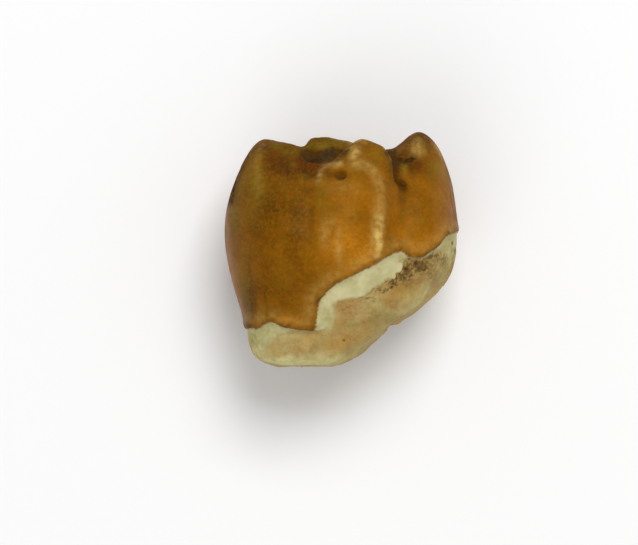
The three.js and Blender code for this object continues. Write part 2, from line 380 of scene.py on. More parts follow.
def stroke(path, width, rise, ends_fade=0.15):
    """Raises a ridge along a path, or cuts a groove where rise is negative. Returns its mask."""
    chosen, away, along = near(path, 3 * width)
    fade = ramp(along, 0, ends_fade) * ramp(1 - along, 0, ends_fade)
    mask = np.zeros(count)
    mask[chosen] = bell(away, width) * fade
    push(rise * mask, EVENED)
    return mask


def dab(x, y, side, width, rise):
    """Raises a round knob at a point drawn on one side, or sinks a pit. Returns its mask."""
    chosen, away, _ = near(lay_on([(x, y), (x + STEP, y)], side), 3 * width)
    mask = np.zeros(count)
    mask[chosen] = bell(away, width)
    push(rise * mask, EVENED)
    return mask


print("a stroke fades out at three times its width")

# %% [markdown]
# ## The enamel's margin
#
# Enamel caps only the crown. Its lower edge climbs from the tongue side, low on the tooth, to the
# cheek side, with a sharp step on the front wall. Below it lies a band of chalky inner enamel,
# where the outer layer has flaked off. The line could be cut into the mesh with a knife, but then
# its sharpness would hang on the mesh. The edge decides both the relief and the colours, so it is
# drawn once, as four stretches with the band's width as a third number, and kept as a distance.

# %% Draw the margin
# [across, up, width of the chalky band below], in mm. Across is x, or the height from the axis.
MARGIN = {
    "front": [
        (-1.98, -1.62, 0.36), (-1.68, -1.59, 0.36), (-1.54, -1.51, 0.34), (-1.4, -1.46, 0.32),
        (-1.24, -1.53, 0.23), (-1.14, -1.57, 0.16), (-1.02, -1.59, 0.1), (-0.84, -1.62, 0.04),
        (-0.62, -1.64, 0.03),
        (-0.55, -1.62, 0.06), (-0.52, -1.54, 0.22), (-0.5, -1.39, 0.32), (-0.48, -1.19, 0.33),
        (-0.44, -1.03, 0.31),
        (-0.34, -0.91, 0.3), (-0.22, -0.79, 0.33), (-0.08, -0.69, 0.4), (0.08, -0.6, 0.48),
        (0.28, -0.51, 0.47), (0.66, -0.31, 0.42), (0.92, -0.15, 0.42), (1.06, -0.09, 0.36),
        (1.18, -0.07, 0.2), (1.28, -0.16, 0.07), (1.42, -0.2, 0.03), (1.58, -0.18, 0.03),
        (1.74, -0.08, 0.06), (1.9, 0.03, 0.1), (2.0, 0.16, 0.2), (2.09, 0.26, 0.3),
    ],
    "cheek": [(0.75, 0.31, 0.34), (0.2, 0.34, 0.3), (-0.3, 0.3, 0.12), (-0.8, 0.2, 0.05)],
    "back": [
        (2.0, 0.12, 0.05), (1.5, -0.2, 0.2), (0.8, -0.74, 0.3), (0.1, -1.1, 0.12),
        (-0.5, -1.34, 0.06), (-1.1, -1.5, 0.2), (-1.7, -1.58, 0.3),
    ],
    "tongue": [(-0.8, -1.6, 0.34), (-0.2, -1.57, 0.2), (0.4, -1.6, 0.28), (0.85, -1.58, 0.38)],
}


def margin_line():
    """The whole margin as one closed path, and the chalky band's width along it."""
    paths, widths = [], []
    for side, controls in MARGIN.items():
        flat = smooth_line(controls)
        paths.append(lay_on(controls, side))
        widths.append(flat[:, 2])
    return np.vstack(paths), np.concatenate(widths)


def turn_about_axis(points):
    """Angle about the tooth's long axis, 0 at the cheek side and rising towards the front."""
    return np.arctan2(points[:, 2] - AXIS, points[:, 0])


def above_margin():
    """Distance above the enamel's margin, negative below it, and the band's width nearby."""
    path, widths = margin_line()
    path, widths = path[::2], widths[::2]
    points = place()
    away, width = np.empty(count), np.empty(count)
    for first in range(0, count, BATCH):
        rows = slice(first, first + BATCH)
        gaps = np.linalg.norm(points[rows, None] - path[None], axis=2)
        nearest = gaps.argmin(1)
        away[rows] = gaps.min(1)
        width[rows] = widths[nearest]
    turns = turn_about_axis(path)
    order = np.argsort(turns)
    edge = np.interp(turn_about_axis(points), turns[order], path[order, 1], period=2 * math.pi)
    return np.where(points[:, 1] > edge, away, -away), width


above, band = above_margin()
print("enamel covers", round(100 * np.mean(above > 0)), "% of the skin")

# %% [markdown]
# ## Relief along the margin
#
# The enamel is a layer, so its edge stands a few hundredths of a millimetre proud. The chalky
# band slopes down from it to the root, and ends at a smaller, ragged step where it has crumbled.
# All of it follows from the distance, so one push makes the whole profile.

# %% Relief along the margin
LIP = 0.01  # how far the enamel's edge stands out
BAND_DROP = 0.03  # how far the band slopes down across its width
ENAMEL_STEP = 0.014  # how far the skin drops under the enamel's edge
CHALK_STEP = 0.016  # how far it drops under the band's lower edge
RAGGED = 0.02  # how far both edges waver

ragged = cloudy(place(), 0.14, 3, 1)
wavering = above + RAGGED * ragged
tail = patch("front", 1.08, -0.42, 0.14, 0.14, 0.45)  # the band reaches on below its last corner
band_edge = band + wavering + RAGGED * ragged + tail  # above 0 on the band, below it on the root
band_edge = band_edge * (1 - patch("front", -1.75, -1.9, 0.4, 0.3, 0.75))  # it fades out there
edge_swell = LIP * bell(above - 0.06, 0.09) * (above > -0.2)
below = ramp(-wavering, -0.012, 0.02)
slope = BAND_DROP * np.clip(-wavering / np.maximum(band, 0.05), 0, 1)
step_down = ENAMEL_STEP * below + slope + CHALK_STEP * ramp(-band_edge, -0.015, 0.02)
recover = 1 - ramp(-above, 0.5, 1.1)  # the root comes back to its own outline further down
push(edge_swell - step_down * recover * ramp(-above, -0.03, 0.0))
print("chalky band covers", round(100 * np.mean((above < 0) & (band_edge > 0)), 1), "% of the skin")

# %% [markdown]
# ## Crests and furrows of the front wall
#
# The worn crests of the crown run on to the front wall as thin raised lines: a low arch over a
# hollow, and a longer one that goes down the middle rib. They could be modelled as bent tubes and
# joined on, but a stroke swells out of the wall with no seam. They catch the light, so their
# masks are kept to paint a highlight along them too.

# %% Crests
ARCH = [(-0.44, 1.2), (-0.46, 1.38), (-0.38, 1.54), (-0.22, 1.64), (-0.06, 1.66), (0.06, 1.76)]
MIDDLE_CREST = [
    (0.16, 2.0), (0.24, 1.86), (0.38, 1.7), (0.58, 1.54), (0.7, 1.34), (0.75, 1.1),
    (0.75, 0.9), (0.73, 0.66), (0.71, 0.38), (0.69, 0.04), (0.67, -0.2), (0.65, -0.4),
]
TONGUE_CREST = [(-1.6, 2.12), (-1.67, 1.8), (-1.66, 1.4), (-1.58, 1.0)]
TONGUE_FACET = [(-1.92, 1.84), (-2.02, 1.64), (-2.13, 1.34), (-2.21, 1.06), (-2.26, 0.8)]

arch = stroke(lay_on(ARCH, "front"), width=0.075, rise=0.024)
middle_crest = stroke(lay_on(MIDDLE_CREST, "front"), width=0.09, rise=0.014)
tongue_crest = stroke(lay_on(TONGUE_CREST, "front"), width=0.09, rise=0.018)
stroke(lay_on(TONGUE_FACET, "front"), width=0.07, rise=-0.014)
crests = arch + middle_crest + tongue_crest
print("crests cover", round(100 * np.mean(crests > 0.5), 1), "% of the skin")

# %% [markdown]
# The back cusps show over the front rim. Their edge is the far side of the basin, and it is
# filled out with one broad stroke and a dab at its corner.

# %% A fuller edge for the back cusps
BACK_CORNER = (-0.62, -1.04)
BACK_EDGE = [(-0.66, -1.02), (-0.4, -1.06), (-0.1, -1.03), (0.2, -0.96)]

dab(*BACK_CORNER, "biting", width=0.11, rise=0.07)
stroke(lay_on(BACK_EDGE, "biting"), width=0.14, rise=0.045)
print("highest point:", place()[:, 1].max().round(2), "mm from the middle")

# %% [markdown]
# The groove beside the middle cusp pinches into dark pits round a little knob, the tubercle, and
# a shallow hollow lies under the arch. Pits have uneven edges, so their strokes wander a little
# from the line. Their masks are kept, because dirt and dark stain fill them later.

# %% Hollows, pits and the little tubercle in the front groove
GROOVE = [(0.95, 1.95), (0.95, 1.84), (1.02, 1.7), (1.06, 1.5), (1.1, 1.34), (1.2, 1.2)]
GROOVE_BAR = [(1.0, 1.77), (1.14, 1.76), (1.28, 1.74), (1.4, 1.76)]
HOLLOW = [(-0.36, 1.44), (-0.2, 1.49), (-0.06, 1.45), (0.06, 1.38)]

pit = stroke(lay_on(GROOVE, "front", wander=0.04), width=0.07, rise=-0.07)
pit = np.maximum(pit, stroke(lay_on(GROOVE_BAR, "front", wander=0.03), width=0.05, rise=-0.05))
pit = np.maximum(pit, 0.7 * dab(1.2, 1.24, "front", width=0.1, rise=-0.03))
arch_hollow = 0.6 * stroke(lay_on(HOLLOW, "front"), width=0.09, rise=-0.035)
deepest = dab(-0.03, 1.43, "front", width=0.11, rise=-0.022)
arch_hollow = np.maximum(arch_hollow, 0.9 * deepest)
tubercle = dab(1.23, 1.55, "front", width=0.075, rise=0.055)
print("pits cover", round(100 * np.mean(pit > 0.5), 2), "% of the skin")

# %% [markdown]
# ## The biting surface and the other walls
#
# Chewing wears the crests down to narrow flats. The softer dentine inside each flat is dished,
# and the harder enamel stands round it as two fine rims, so each crest is raised with a broad
# stroke and dished with a narrow one. Between the crests lie basins, cut first. Shallow furrows
# part the cusps on the cheek side, the tongue side and the back.

# %% Worn crests and furrows
WORN_CRESTS = [  # points, width
    ([(1.52, 0.45), (1.22, 0.34), (0.86, 0.24), (0.44, 0.16), (-0.1, 0.12), (-0.7, 0.1)], 0.09),
    ([(0.42, 0.98), (0.66, 0.72), (0.88, 0.44)], 0.06),
    ([(1.34, -0.92), (0.92, -0.66), (0.36, -0.44), (-0.3, -0.26), (-0.66, 0.06)], 0.09),
    ([(-0.36, -0.8), (-0.36, -0.6), (-0.31, -0.3)], 0.06),
    ([(-1.56, 0.5), (-1.2, 0.76), (-0.8, 0.92)], 0.06),
]
BASINS = [  # points, width, depth below the crests
    ([(0.8, 0.47), (0.3, 0.46), (-0.3, 0.44)], 0.13, -0.07),
    ([(-0.6, 0.4), (-1.1, 0.36), (-1.5, 0.26)], 0.13, -0.07),
    ([(1.7, -0.3), (1.2, -0.24), (0.5, -0.15), (-0.2, -0.06)], 0.14, -0.08),
    ([(0.85, -0.9), (0.45, -0.72), (0.02, -0.56)], 0.12, -0.06),
    ([(-0.55, -0.74), (-0.8, -0.5), (-0.96, -0.15)], 0.14, -0.07),
]
FURROWS = [
    ([(-0.42, 2.0), (-0.4, 1.5), (-0.34, 1.0), (-0.3, 0.4)], "tongue", 0.15, -0.06),
    ([(-0.06, 1.62), (-0.1, 1.2), (-0.14, 0.8), (-0.12, 0.5)], "cheek", 0.12, -0.05),
    ([(0.46, 1.9), (0.5, 1.3), (0.56, 0.6), (0.6, 0.0)], "back", 0.14, -0.04),
]
RIM_RISE = 0.04
DISH = -0.06

rims = np.zeros(count)
dentine = np.zeros(count)
for controls, width, rise in BASINS:
    stroke(lay_on(controls, "biting", wander=0.06), width, rise, ends_fade=0.25)
for controls, width in WORN_CRESTS:
    path = lay_on(controls, "biting", wander=0.03)
    rims = np.maximum(rims, stroke(path, 2 * width, RIM_RISE))
    dentine = np.maximum(dentine, stroke(path, width, DISH))
for controls, side, width, rise in FURROWS:
    stroke(lay_on(controls, side), width, rise, ends_fade=0.3)
print("worn crests cover", round(100 * np.mean(dentine > 0.5), 1), "% of the skin")

# %% [markdown]
# The middle cusp falls away to the groove in an even slope, where the tooth of the other jaw
# rubbed on it. The slope is a line of heights that nothing may stand above, which works like a
# file: what is higher is taken down, and the edges of the cut are evened out.

# %% Wear the middle cusp down to a slope
SLOPE_X = [0.3, 0.44, 0.56, 0.71, 0.86, 0.98, 1.08, 1.2]
SLOPE_TOP = [2.2, 2.16, 2.12, 2.055, 2.0, 1.975, 2.03, 2.2]
SLOPE_START = (0.2, 0.36)  # the stretches of x in which the file sets in and lets off
SLOPE_END = (1.22, 1.1)
TAKEN_OFF = 0.9  # share of what stands above the line

points = place()
over = np.maximum(points[:, 1] - np.interp(points[:, 0], SLOPE_X, SLOPE_TOP), 0)
over = over * ramp(points[:, 0], *SLOPE_START) * ramp(points[:, 0], *SLOPE_END)
points[:, 1] -= TAKEN_OFF * over
put(points)
soften(ramp(blur(over > 0.004, 6), 0.02, 0.4), 6)
print("worn down by up to", over.max().round(3), "mm")

# %% [markdown]
# ## Cracks
#
# Enamel dries out and splits along its length while it lies in the ground. The cracks are
# hairlines, far finer than the mesh, so the mesh keeps only their distance and the material draws
# them. The distance is signed, left or right of the crack, because a signed value passes through
# zero between two vertices exactly where the crack runs.

# %% Hairline cracks
CRACKS = [  # points, side, strength
    ([(-1.8, 0.25), (-1.83, -0.3), (-1.79, -0.8), (-1.81, -1.42)], "front", 0.4),
    ([(-1.53, -0.8), (-1.49, -1.15), (-1.5, -1.44)], "front", 0.6),
    ([(0.3, 1.6), (0.24, 0.9), (0.33, 0.2), (0.27, -0.5), (0.33, -1.2)], "tongue", 1.0),
    ([(-0.75, 0.9), (-0.7, 0.3), (-0.78, -0.4), (-0.72, -1.5)], "tongue", 1.0),
    ([(-0.2, -0.3), (-0.26, -0.8), (-0.2, -1.5)], "tongue", 1.0),
    ([(-0.42, 1.5), (-0.36, 0.95), (-0.43, 0.4)], "cheek", 1.0),
    ([(0.6, 1.3), (0.66, 0.9), (0.6, 0.45)], "cheek", 1.0),
    ([(-0.9, 0.9), (-0.84, 0.3), (-0.9, -0.5), (-0.86, -1.3)], "back", 1.0),
    ([(1.2, 1.4), (1.26, 0.8), (1.2, 0.3)], "back", 1.0),
    ([(-1.9, 0.5), (-1.3, 0.66), (-0.9, 0.62)], "biting", 1.0),
    ([(0.9, -1.1), (0.8, -0.7), (0.9, -0.3)], "biting", 1.0),
]
CRACK_REACH = 0.12  # how far from a crack its distance is kept, in mm


def side_of(path, chosen):
    """Signed distance of these vertices from a path, across it."""
    points = place()[chosen]
    upright = normal()[chosen]
    nearest = np.empty(len(chosen), int)
    for first in range(0, len(chosen), BATCH):
        rows = slice(first, first + BATCH)
        nearest[rows] = np.linalg.norm(points[rows, None] - path[None], axis=2).argmin(1)
    ahead = path[np.minimum(nearest + 3, len(path) - 1)] - path[np.maximum(nearest - 3, 0)]
    across = np.cross(ahead, upright)
    across /= np.linalg.norm(across, axis=1)[:, None]
    return np.sum((points - path[nearest]) * across, axis=1)


crack = np.full(count, CRACK_REACH)
crack_shown = np.zeros(count)
for controls, side, strength in CRACKS:
    path = lay_on(controls, side, wander=0.03)
    chosen, away, along = near(path, CRACK_REACH)
    closer = away < np.abs(crack[chosen])
    chosen, along = chosen[closer], along[closer]
    crack[chosen] = side_of(path, chosen)
    crack_shown[chosen] = strength * ramp(along, 0, 0.2) * ramp(1 - along, 0, 0.2)
print(len(CRACKS), "cracks")

# %% [markdown]
# ## The root and its breaks
#
# The root is dentine: dull, slightly porous, and pitted by roots and water in the ground. It broke
# off in two places, straight across below the tongue side and on a slant below the cheek side.
# Three stumps stand on the broken end, for the three roots, with a lower hollow between them.
# Broken dentine is rough and stepped. A displacement texture would roughen everything alike, so
# noise is pushed in through masks, which keeps it on the breaks.

# %% Rough root and granular breaks
ROOT_GRAIN = ((0.5, 0.02), (0.16, 0.009))  # (size of the lumps, their height), in mm
BREAK_STEPS = ((0.6, 0.045), (0.26, 0.032), (0.11, 0.02))

STUMPS = [  # soft ovals, as for painting
    ("root", -1.15, -0.3, 0.85, 0.95, 1.0), ("root", 1.65, 0.35, 0.6, 0.6, 1.0),
    ("root", 1.5, -0.95, 0.62, 0.5, 1.0),
]
SCARP = 0.09  # how far the stumps stand above the hollow between them, in mm
OUTER_WALL = (1.05, 1.35)  # distance from the axis at which the hollow rises to the outer wall

root = ramp(-above, 0.02, 0.12) * (1 - ramp(band_edge, -0.02, 0.03))
points = place()
facing_down = -blur(normal(), 25)[:, 1]
end_face = ramp(facing_down, 0.5, 0.75) * ramp(-above, 0.35, 0.65)
inside = 1 - ramp(np.abs(points[:, 2] - AXIS), *OUTER_WALL)
stump = ramp(painted(STUMPS) + 0.24 * cloudy(points, 0.55, 4, 24), 0.34, 0.46)
low_side = ramp(AXIS - points[:, 2], -0.1, 0.5)  # the hollow fades out towards the front wall
between = end_face * inside * (1 - stump) * low_side
push(-SCARP * between, EVENED)
broken = end_face * np.maximum(stump, 1 - inside) * (0.25 + 0.75 * low_side)
for seed, (size, height) in enumerate(ROOT_GRAIN):
    push(height * root * cloudy(points, size, 2, 20 + seed))
for seed, (size, height) in enumerate(BREAK_STEPS):
    roughness = 0.8 * broken + 0.4 * between
    push(-height * roughness * np.abs(cloudy(points, size, 3, 30 + seed)), EVENED)
print("breaks cover", round(100 * np.mean(broken > 0.5)), "% of the skin")

# %% [markdown]
# Valleys run between the stumps, and a low ledge follows the edge of the tongue-side root. The
# pulp canals open in the stumps as bent slots, which two strokes of different widths cut. Small
# holes are dabs.

# %% Valleys between the stumps
VALLEYS = [  # points, width, depth
    ([(1.06, 1.3), (0.99, 0.6), (0.97, 0.0), (0.99, -0.6), (1.08, -1.2)], 0.12, -0.06),
    ([(0.5, -0.2), (0.4, -0.5), (0.5, -0.9)], 0.3, -0.04),
    ([(0.9, -0.14), (1.2, -0.14), (1.6, -0.16), (2.1, -0.12)], 0.18, -0.09),
]
LEDGE = [(1.2, 1.2), (1.14, 0.6), (1.12, 0.0), (1.14, -0.6)]

for controls, width, rise in VALLEYS:
    stroke(lay_on(controls, "root", wander=0.05), width, rise, ends_fade=0.3)
stroke(lay_on(LEDGE, "root", wander=0.02), width=0.08, rise=0.012, ends_fade=0.2)
print(len(VALLEYS), "valleys")

# %% Pulp canals and small holes
# Each canal is a short bent slot: the side it is drawn on, its points, and (width, depth) pairs.
CANALS = [
    ("cheek", [(-0.04, -0.92), (0.04, -0.84), (0.02, -0.76)], ((0.11, -0.1), (0.07, -0.12))),
    ("cheek", [(-0.86, -0.98), (-0.74, -1.0), (-0.66, -0.9)], ((0.12, -0.12), (0.07, -0.12))),
    (
        "root", [(-1.12, -0.24), (-0.98, -0.1), (-0.82, -0.06)],
        ((0.4, 0.04), (0.14, -0.13), (0.08, -0.14)),
    ),
    ("cheek", [(-0.2, -0.74), (-0.16, -0.72)], ((0.06, -0.05),)),
]
HOLES = [  # across, up, side, width, depth
    (0.02, -1.83, "front", 0.035, -0.024), (0.13, -1.79, "front", 0.03, -0.018),
    (0.06, -1.75, "front", 0.02, -0.012),
    (0.97, -0.78, "front", 0.035, -0.03), (1.25, -0.42, "front", 0.05, -0.03),
    (1.44, -0.3, "front", 0.045, -0.03), (1.6, -0.44, "front", 0.04, -0.025),
    (1.52, -0.2, "front", 0.035, -0.02), (1.3, -0.22, "front", 0.04, -0.025),
    (2.2, 0.1, "front", 0.055, -0.035), (0.5, -1.2, "front", 0.03, -0.015),
    (0.3, -1.9, "tongue", 0.05, -0.03), (-0.5, -2.0, "tongue", 0.04, -0.03),
    (-0.2, -0.5, "cheek", 0.05, -0.03), (0.2, -1.3, "cheek", 0.05, -0.03),
    (-0.4, -1.8, "back", 0.05, -0.03),
]
DARK_DEPTH = 0.03  # a hole this deep is painted darkest, in mm
ABRUPT = 0.001  # share of a stroke in which its ends fade, here next to none

skin_now = BVHTree.FromPolygons(place().tolist(), squares)  # the skin has moved since it was read
canal = np.zeros(count)
for side, controls, cuts in CANALS:
    path = lay_on(controls, side)
    for width, rise in cuts:
        cut = stroke(path, width, rise, ends_fade=ABRUPT)
        canal = np.maximum(canal, cut * (rise < 0))
holes = np.zeros(count)
for x, y, side, width, rise in HOLES:
    holes = np.maximum(holes, min(1, -rise / DARK_DEPTH) * dab(x, y, side, width, rise))
print(len(CANALS), "canals,", len(HOLES), "holes")

# %% [markdown]
# ## Sediment in the valleys
#
# Dark, sandy sediment is still packed in the valleys of the biting surface and in the pits. It
# settles where the skin is hollow, so the hollows are measured: there the average of a wide
# neighbourhood lies outside the skin, and on ridges it lies inside.

# %% Find the hollows
WIDE = 60  # how many rounds of averaging reach across a valley


def hollowness(times):
    """How far the skin lies below its neighbourhood's average, in mm. Ridges are below zero."""
    points = place()
    return np.sum((blur(points, times) - points) * normal(), axis=1)


hollow_wide = hollowness(WIDE)
print("deepest valley:", hollow_wide.max().round(3), "mm")

# %% Fill them
points = place()
on_top = ramp(points[:, 1], 1.25, 1.5) * ramp(above, 0.9, 1.2)
faces_up = ramp(normal(20)[:, 1], 0.35, 0.7)
settled = ramp(hollow_wide + 0.011 * cloudy(points, 0.4, 3, 42), 0.006, 0.034)
settled = blur(settled * on_top * faces_up * (1 - before_rim), 4)
sediment = np.maximum(settled, 0.7 * ramp(canal, 0.3, 0.8))
sediment = np.maximum(sediment, 0.55 * ramp(pit, 0.35, 0.8))
push(sediment * (0.01 + 0.02 * cloudy(points, 0.1, 3, 41)))
print("sediment covers", round(100 * np.mean(sediment > 0.5), 1), "% of the skin")

# %% [markdown]
# Enamel is never quite flat. A last, very low swell breaks up its reflections, and the hollows and
# ridges are measured again for the colours.

# %% Last unevenness of the enamel
SWELL = 0.005

enamel = ramp(above, 0.0, 0.1)
push(SWELL * enamel * cloudy(place(), 0.42, 2, 51))
hollow_fine = hollowness(8)
hollow_wide = hollowness(WIDE)
print("relief done, mm:", place().min(0).round(3), place().max(0).round(3))

# %% [markdown]
# ## Where each colour lies
#
# The enamel isn't one brown. It is darkest on the tongue-side lobe and a warm orange on the
# middle rib, with reddish stains near the biting surface, olive patches and pale worn edges, and
# some painted highlights and painted shade. Such broad areas follow the shape. They could be
# painted on an image, which would need an unwrapped skin, so they are painted on the vertices
# instead, as soft patches that are kept as attributes.
# The fine mottling comes later, in the material.

# %% Paint soft patches
evened = normal(20)
on_front = ramp(evened[:, 2], 0.0, 0.4)
clouds = cloudy(place(), 0.9, 3, 61)
fine_clouds = cloudy(place(), 0.35, 3, 62)

WARM = [  # side, across, up, reach across, reach up, strength
    ("front", 0.15, 0.0, 0.56, 0.7, 0.8), ("front", 0.3, 0.9, 0.45, 0.5, 0.3),
    ("front", 0.4, -0.05, 0.3, 0.4, 0.85), ("front", 0.6, 1.95, 0.25, 0.2, 0.4),
    ("front", 1.5, 0.3, 0.6, 0.8, 0.45),
    ("front", -1.0, -1.42, 0.5, 0.12, 0.45), ("front", 1.9, 0.3, 0.3, 0.4, 0.5),
    ("front", 0.0, -0.45, 0.3, 0.3, 0.5),
    ("cheek", 0.5, 0.9, 0.5, 0.6, 0.4), ("cheek", -0.7, 1.0, 0.4, 0.5, 0.5),
    ("tongue", 0.4, -0.6, 0.5, 0.9, 0.3), ("back", -0.6, 0.6, 0.6, 0.8, 0.4),
    ("back", 0.9, 0.7, 0.4, 0.6, 0.5),
]
# Darker tones of the enamel, with painted shade along the tongue-side edge where the wall turns away.
DEEP_AND_SHADE = [
    ("front", -0.9, 0.6, 0.32, 1.0, 0.6), ("front", -1.4, 0.8, 0.8, 0.9, 0.54),
    ("front", -1.5, -0.5, 0.5, 0.7, 0.3), ("front", -1.85, -1.0, 0.2, 0.6, 0.75),
    ("front", -1.0, 1.7, 0.55, 0.3, 0.95), ("front", 1.6, 2.2, 0.24, 0.14, 0.6),
    ("biting", -0.8, 0.7, 0.6, 0.6, 0.9), ("front", -0.4, 2.1, 0.5, 0.16, 0.6),
    ("front", 1.5, 0.7, 0.4, 0.4, 0.4), ("front", 1.23, 1.55, 0.1, 0.12, 0.4),
    ("front", 0.9, 0.9, 0.14, 0.8, 0.2),
    ("front", 0.98, 1.7, 0.14, 0.34, 0.5), ("front", 1.4, 1.66, 0.24, 0.22, 0.5),
    ("tongue", -0.3, 0.8, 0.25, 0.9, 0.6), ("tongue", 0.9, 0.6, 0.4, 0.9, 0.4),
    ("cheek", -0.1, 1.0, 0.2, 0.6, 0.7), ("back", 0.2, 0.2, 0.3, 0.9, 0.6),
]
RUST = [
    ("front", -1.3, 1.8, 0.26, 0.2, 0.75), ("front", -0.8, 1.62, 0.4, 0.14, 0.8),
    ("biting", -0.9, 0.9, 0.4, 0.4, 0.7),
    ("front", -0.86, -0.62, 0.25, 0.3, 0.35), ("front", 1.5, 1.64, 0.2, 0.22, 0.7),
    ("front", -0.55, 1.45, 0.16, 0.1, 0.6), ("front", 0.35, 0.55, 0.3, 0.2, 0.2),
    ("tongue", -0.4, -0.9, 0.3, 0.4, 0.4), ("cheek", 0.1, 1.4, 0.3, 0.3, 0.5),
]
OLIVE = [
    ("front", -1.72, 1.35, 0.18, 0.6, 0.65), ("front", -2.14, 0.65, 0.14, 0.3, 0.6),
    ("front", -0.98, 1.66, 0.07, 0.08, 0.45), ("front", 1.86, 1.6, 0.14, 0.18, 0.6),
    ("front", 0.7, 1.9, 0.2, 0.16, 0.4),
    ("front", 1.23, 1.58, 0.07, 0.12, 0.8), ("front", -0.42, 1.0, 0.14, 0.3, 0.4),
    ("front", -1.95, -0.9, 0.16, 0.7, 0.4), ("front", -1.25, 2.06, 0.16, 0.1, 0.7),
    ("front", -1.02, 1.94, 0.2, 0.13, 0.6), ("front", -0.74, 1.4, 0.1, 0.07, 0.7),
    ("front", -0.4, 2.1, 0.5, 0.14, 0.7),
    ("cheek", 0.6, 1.5, 0.2, 0.2, 0.6), ("tongue", 0.7, 1.2, 0.3, 0.4, 0.6),
    ("back", 1.3, 1.2, 0.3, 0.4, 0.6),
]
# Painted highlights and sheen: on the middle cusp and rib, the cheek-side cusp and the tops of the
# sides.
PALE = [
    ("front", 0.24, 1.88, 0.12, 0.16, 0.62), ("front", 0.3, 1.66, 0.2, 0.1, 0.4),
    ("front", -0.22, 1.66, 0.14, 0.06, 0.5), ("front", 1.5, 2.0, 0.13, 0.17, 0.6),
    ("front", -0.08, 0.0, 0.08, 0.4, 0.3), ("front", 0.0, 1.2, 0.35, 0.14, 0.12),
    ("front", 0.32, 2.14, 0.3, 0.07, 0.4), ("front", -0.34, 0.3, 0.1, 0.3, 0.3),
    ("front", -0.2, 0.5, 0.1, 0.12, 0.2),
    ("tongue", 0.2, 1.9, 0.3, 0.1, 0.4), ("cheek", 0.46, 1.9, 0.12, 0.2, 0.5),
]
basin = on_top * faces_up
unpainted = 0.4 - 0.3 * on_front  # the sides with few patches get more of their colour from noise
warmth = painted(WARM) - painted(DEEP_AND_SHADE) - 0.5 * basin + (0.45 - 0.33 * on_front) * clouds
warmth = 0.5 + 0.5 * np.clip(warmth, -1, 1)
rust = painted(RUST) + 0.2 * basin + unpainted * ramp(cloudy(place(), 0.7, 3, 63), 0.15, 0.6)
olive = painted(OLIVE) + unpainted * ramp(cloudy(place(), 0.6, 3, 64), 0.15, 0.6)
print("warmth runs from", warmth.min().round(2), "to", warmth.max().round(2))

# %% [markdown]
# Wear polishes the ridges pale, except on the tongue-side lobe, and the crests and a few spots get
# painted highlights. What lies deep is darker: dirt in the groove, dirt and painted shade in the
# valleys, and painted shade in the arch's hollow and along the line above the margin. The relief's
# own masks and the measured hollows say where that is, so the colours always sit on the shape.

# %% Painted highlights and pale, worn edges
RIDGE_SEEN = 0.0015  # a ridge this much above its neighbourhood looks worn and pale, in mm
UNWORN = [
    ("front", -0.9, 1.8, 0.9, 0.6, 1.0), ("biting", -0.8, 0.7, 0.9, 0.8, 1.0),
    ("front", -0.35, 1.8, 0.4, 0.12, 1.0), ("biting", -0.35, 1.1, 0.45, 0.3, 1.0),
]

sharp = ramp(-hollow_fine, RIDGE_SEEN, 6 * RIDGE_SEEN)
patchy = ramp(fine_clouds, -0.2, 0.4)
# Painted highlights: the PALE patches, the arch and the middle crest.
pale = np.maximum(painted(PALE), 0.38 * arch * (0.6 + 0.4 * patchy))
pale = np.maximum(pale, 0.2 * bell(above - 0.16, 0.14) * on_front)
lower_down = np.interp(place()[:, 1], (-0.36, 0.05, 0.6, 1.0, 1.6), (0.25, 1.0, 0.6, 0.2, 0.3))
crest_highlight = np.minimum(1.5 * blur(middle_crest, 8), 1) * (0.9 + 0.15 * fine_clouds)
pale = np.maximum(pale, np.maximum(lower_down * crest_highlight, 0.1 * tongue_crest))
worn = (0.15 + 0.3 * patchy) * rims * (1 - dentine) * sharp
worn = np.maximum(worn, 0.25 * sharp * patchy * ramp(place()[:, 1], 1.3, 1.7))
unworn = sum(patch(*row) for row in UNWORN)
on_ridges = ramp(-hollow_wide, 0.004, 0.03) * on_top * (1 - on_front) * (0.4 + 0.4 * patchy)
worn = np.maximum(worn, 0.42 * on_ridges)
pale = np.maximum(pale, worn * (1 - np.minimum(unworn, 1)))
print("pale on", round(100 * np.mean(pale > 0.2), 1), "% of the skin")

# %% Dark stains, painted shade and the sediment that shows from the front
height_up = place()[:, 1]
# Painted shade along the tongue-side and cheek-side edges, where the walls turn away from the front.
along_facet = ramp(height_up, 0.7, 0.95) * ramp(-height_up, -2.05, -1.85) * (place()[:, 0] < -1.4)
stain_and_shade = (0.8 + 0.4 * fine_clouds) * bell(evened[:, 2] - 0.18, 0.28) * along_facet
cheek_edge_shade = 0.35 * bell(evened[:, 2] - 0.1, 0.16) * ramp(place()[:, 0], 1.3, 1.7)
stain_and_shade = np.maximum(stain_and_shade, cheek_edge_shade * ramp(above, 0.1, 0.3) * (0.8 + 0.4 * patchy))
# Partly dirt, partly painted shade: darker in the valleys of the biting surface.
valley_dirt_and_shade = ramp(hollow_wide, 0.003, 0.03) * on_top * (1 - on_front)
stain_and_shade = np.maximum(stain_and_shade, 0.5 * valley_dirt_and_shade)
for controls in (GROOVE, GROOVE_BAR):
    chosen, away, _ = near(lay_on(controls, "front"), 0.3)
    smeared = np.zeros(count)
    smeared[chosen] = 0.85 * bell(away, 0.11)
    stain_and_shade = np.maximum(stain_and_shade, smeared * (0.75 + 0.35 * patchy))
stain_and_shade = np.maximum(stain_and_shade, patch("front", 1.36, 1.6, 0.07, 0.14, 0.5))
stain_and_shade = np.maximum(stain_and_shade, patch("front", 1.28, 1.16, 0.12, 0.09, 0.5) * (0.5 + 0.5 * patchy))
stain_and_shade = stain_and_shade * (1 - 0.9 * tubercle)
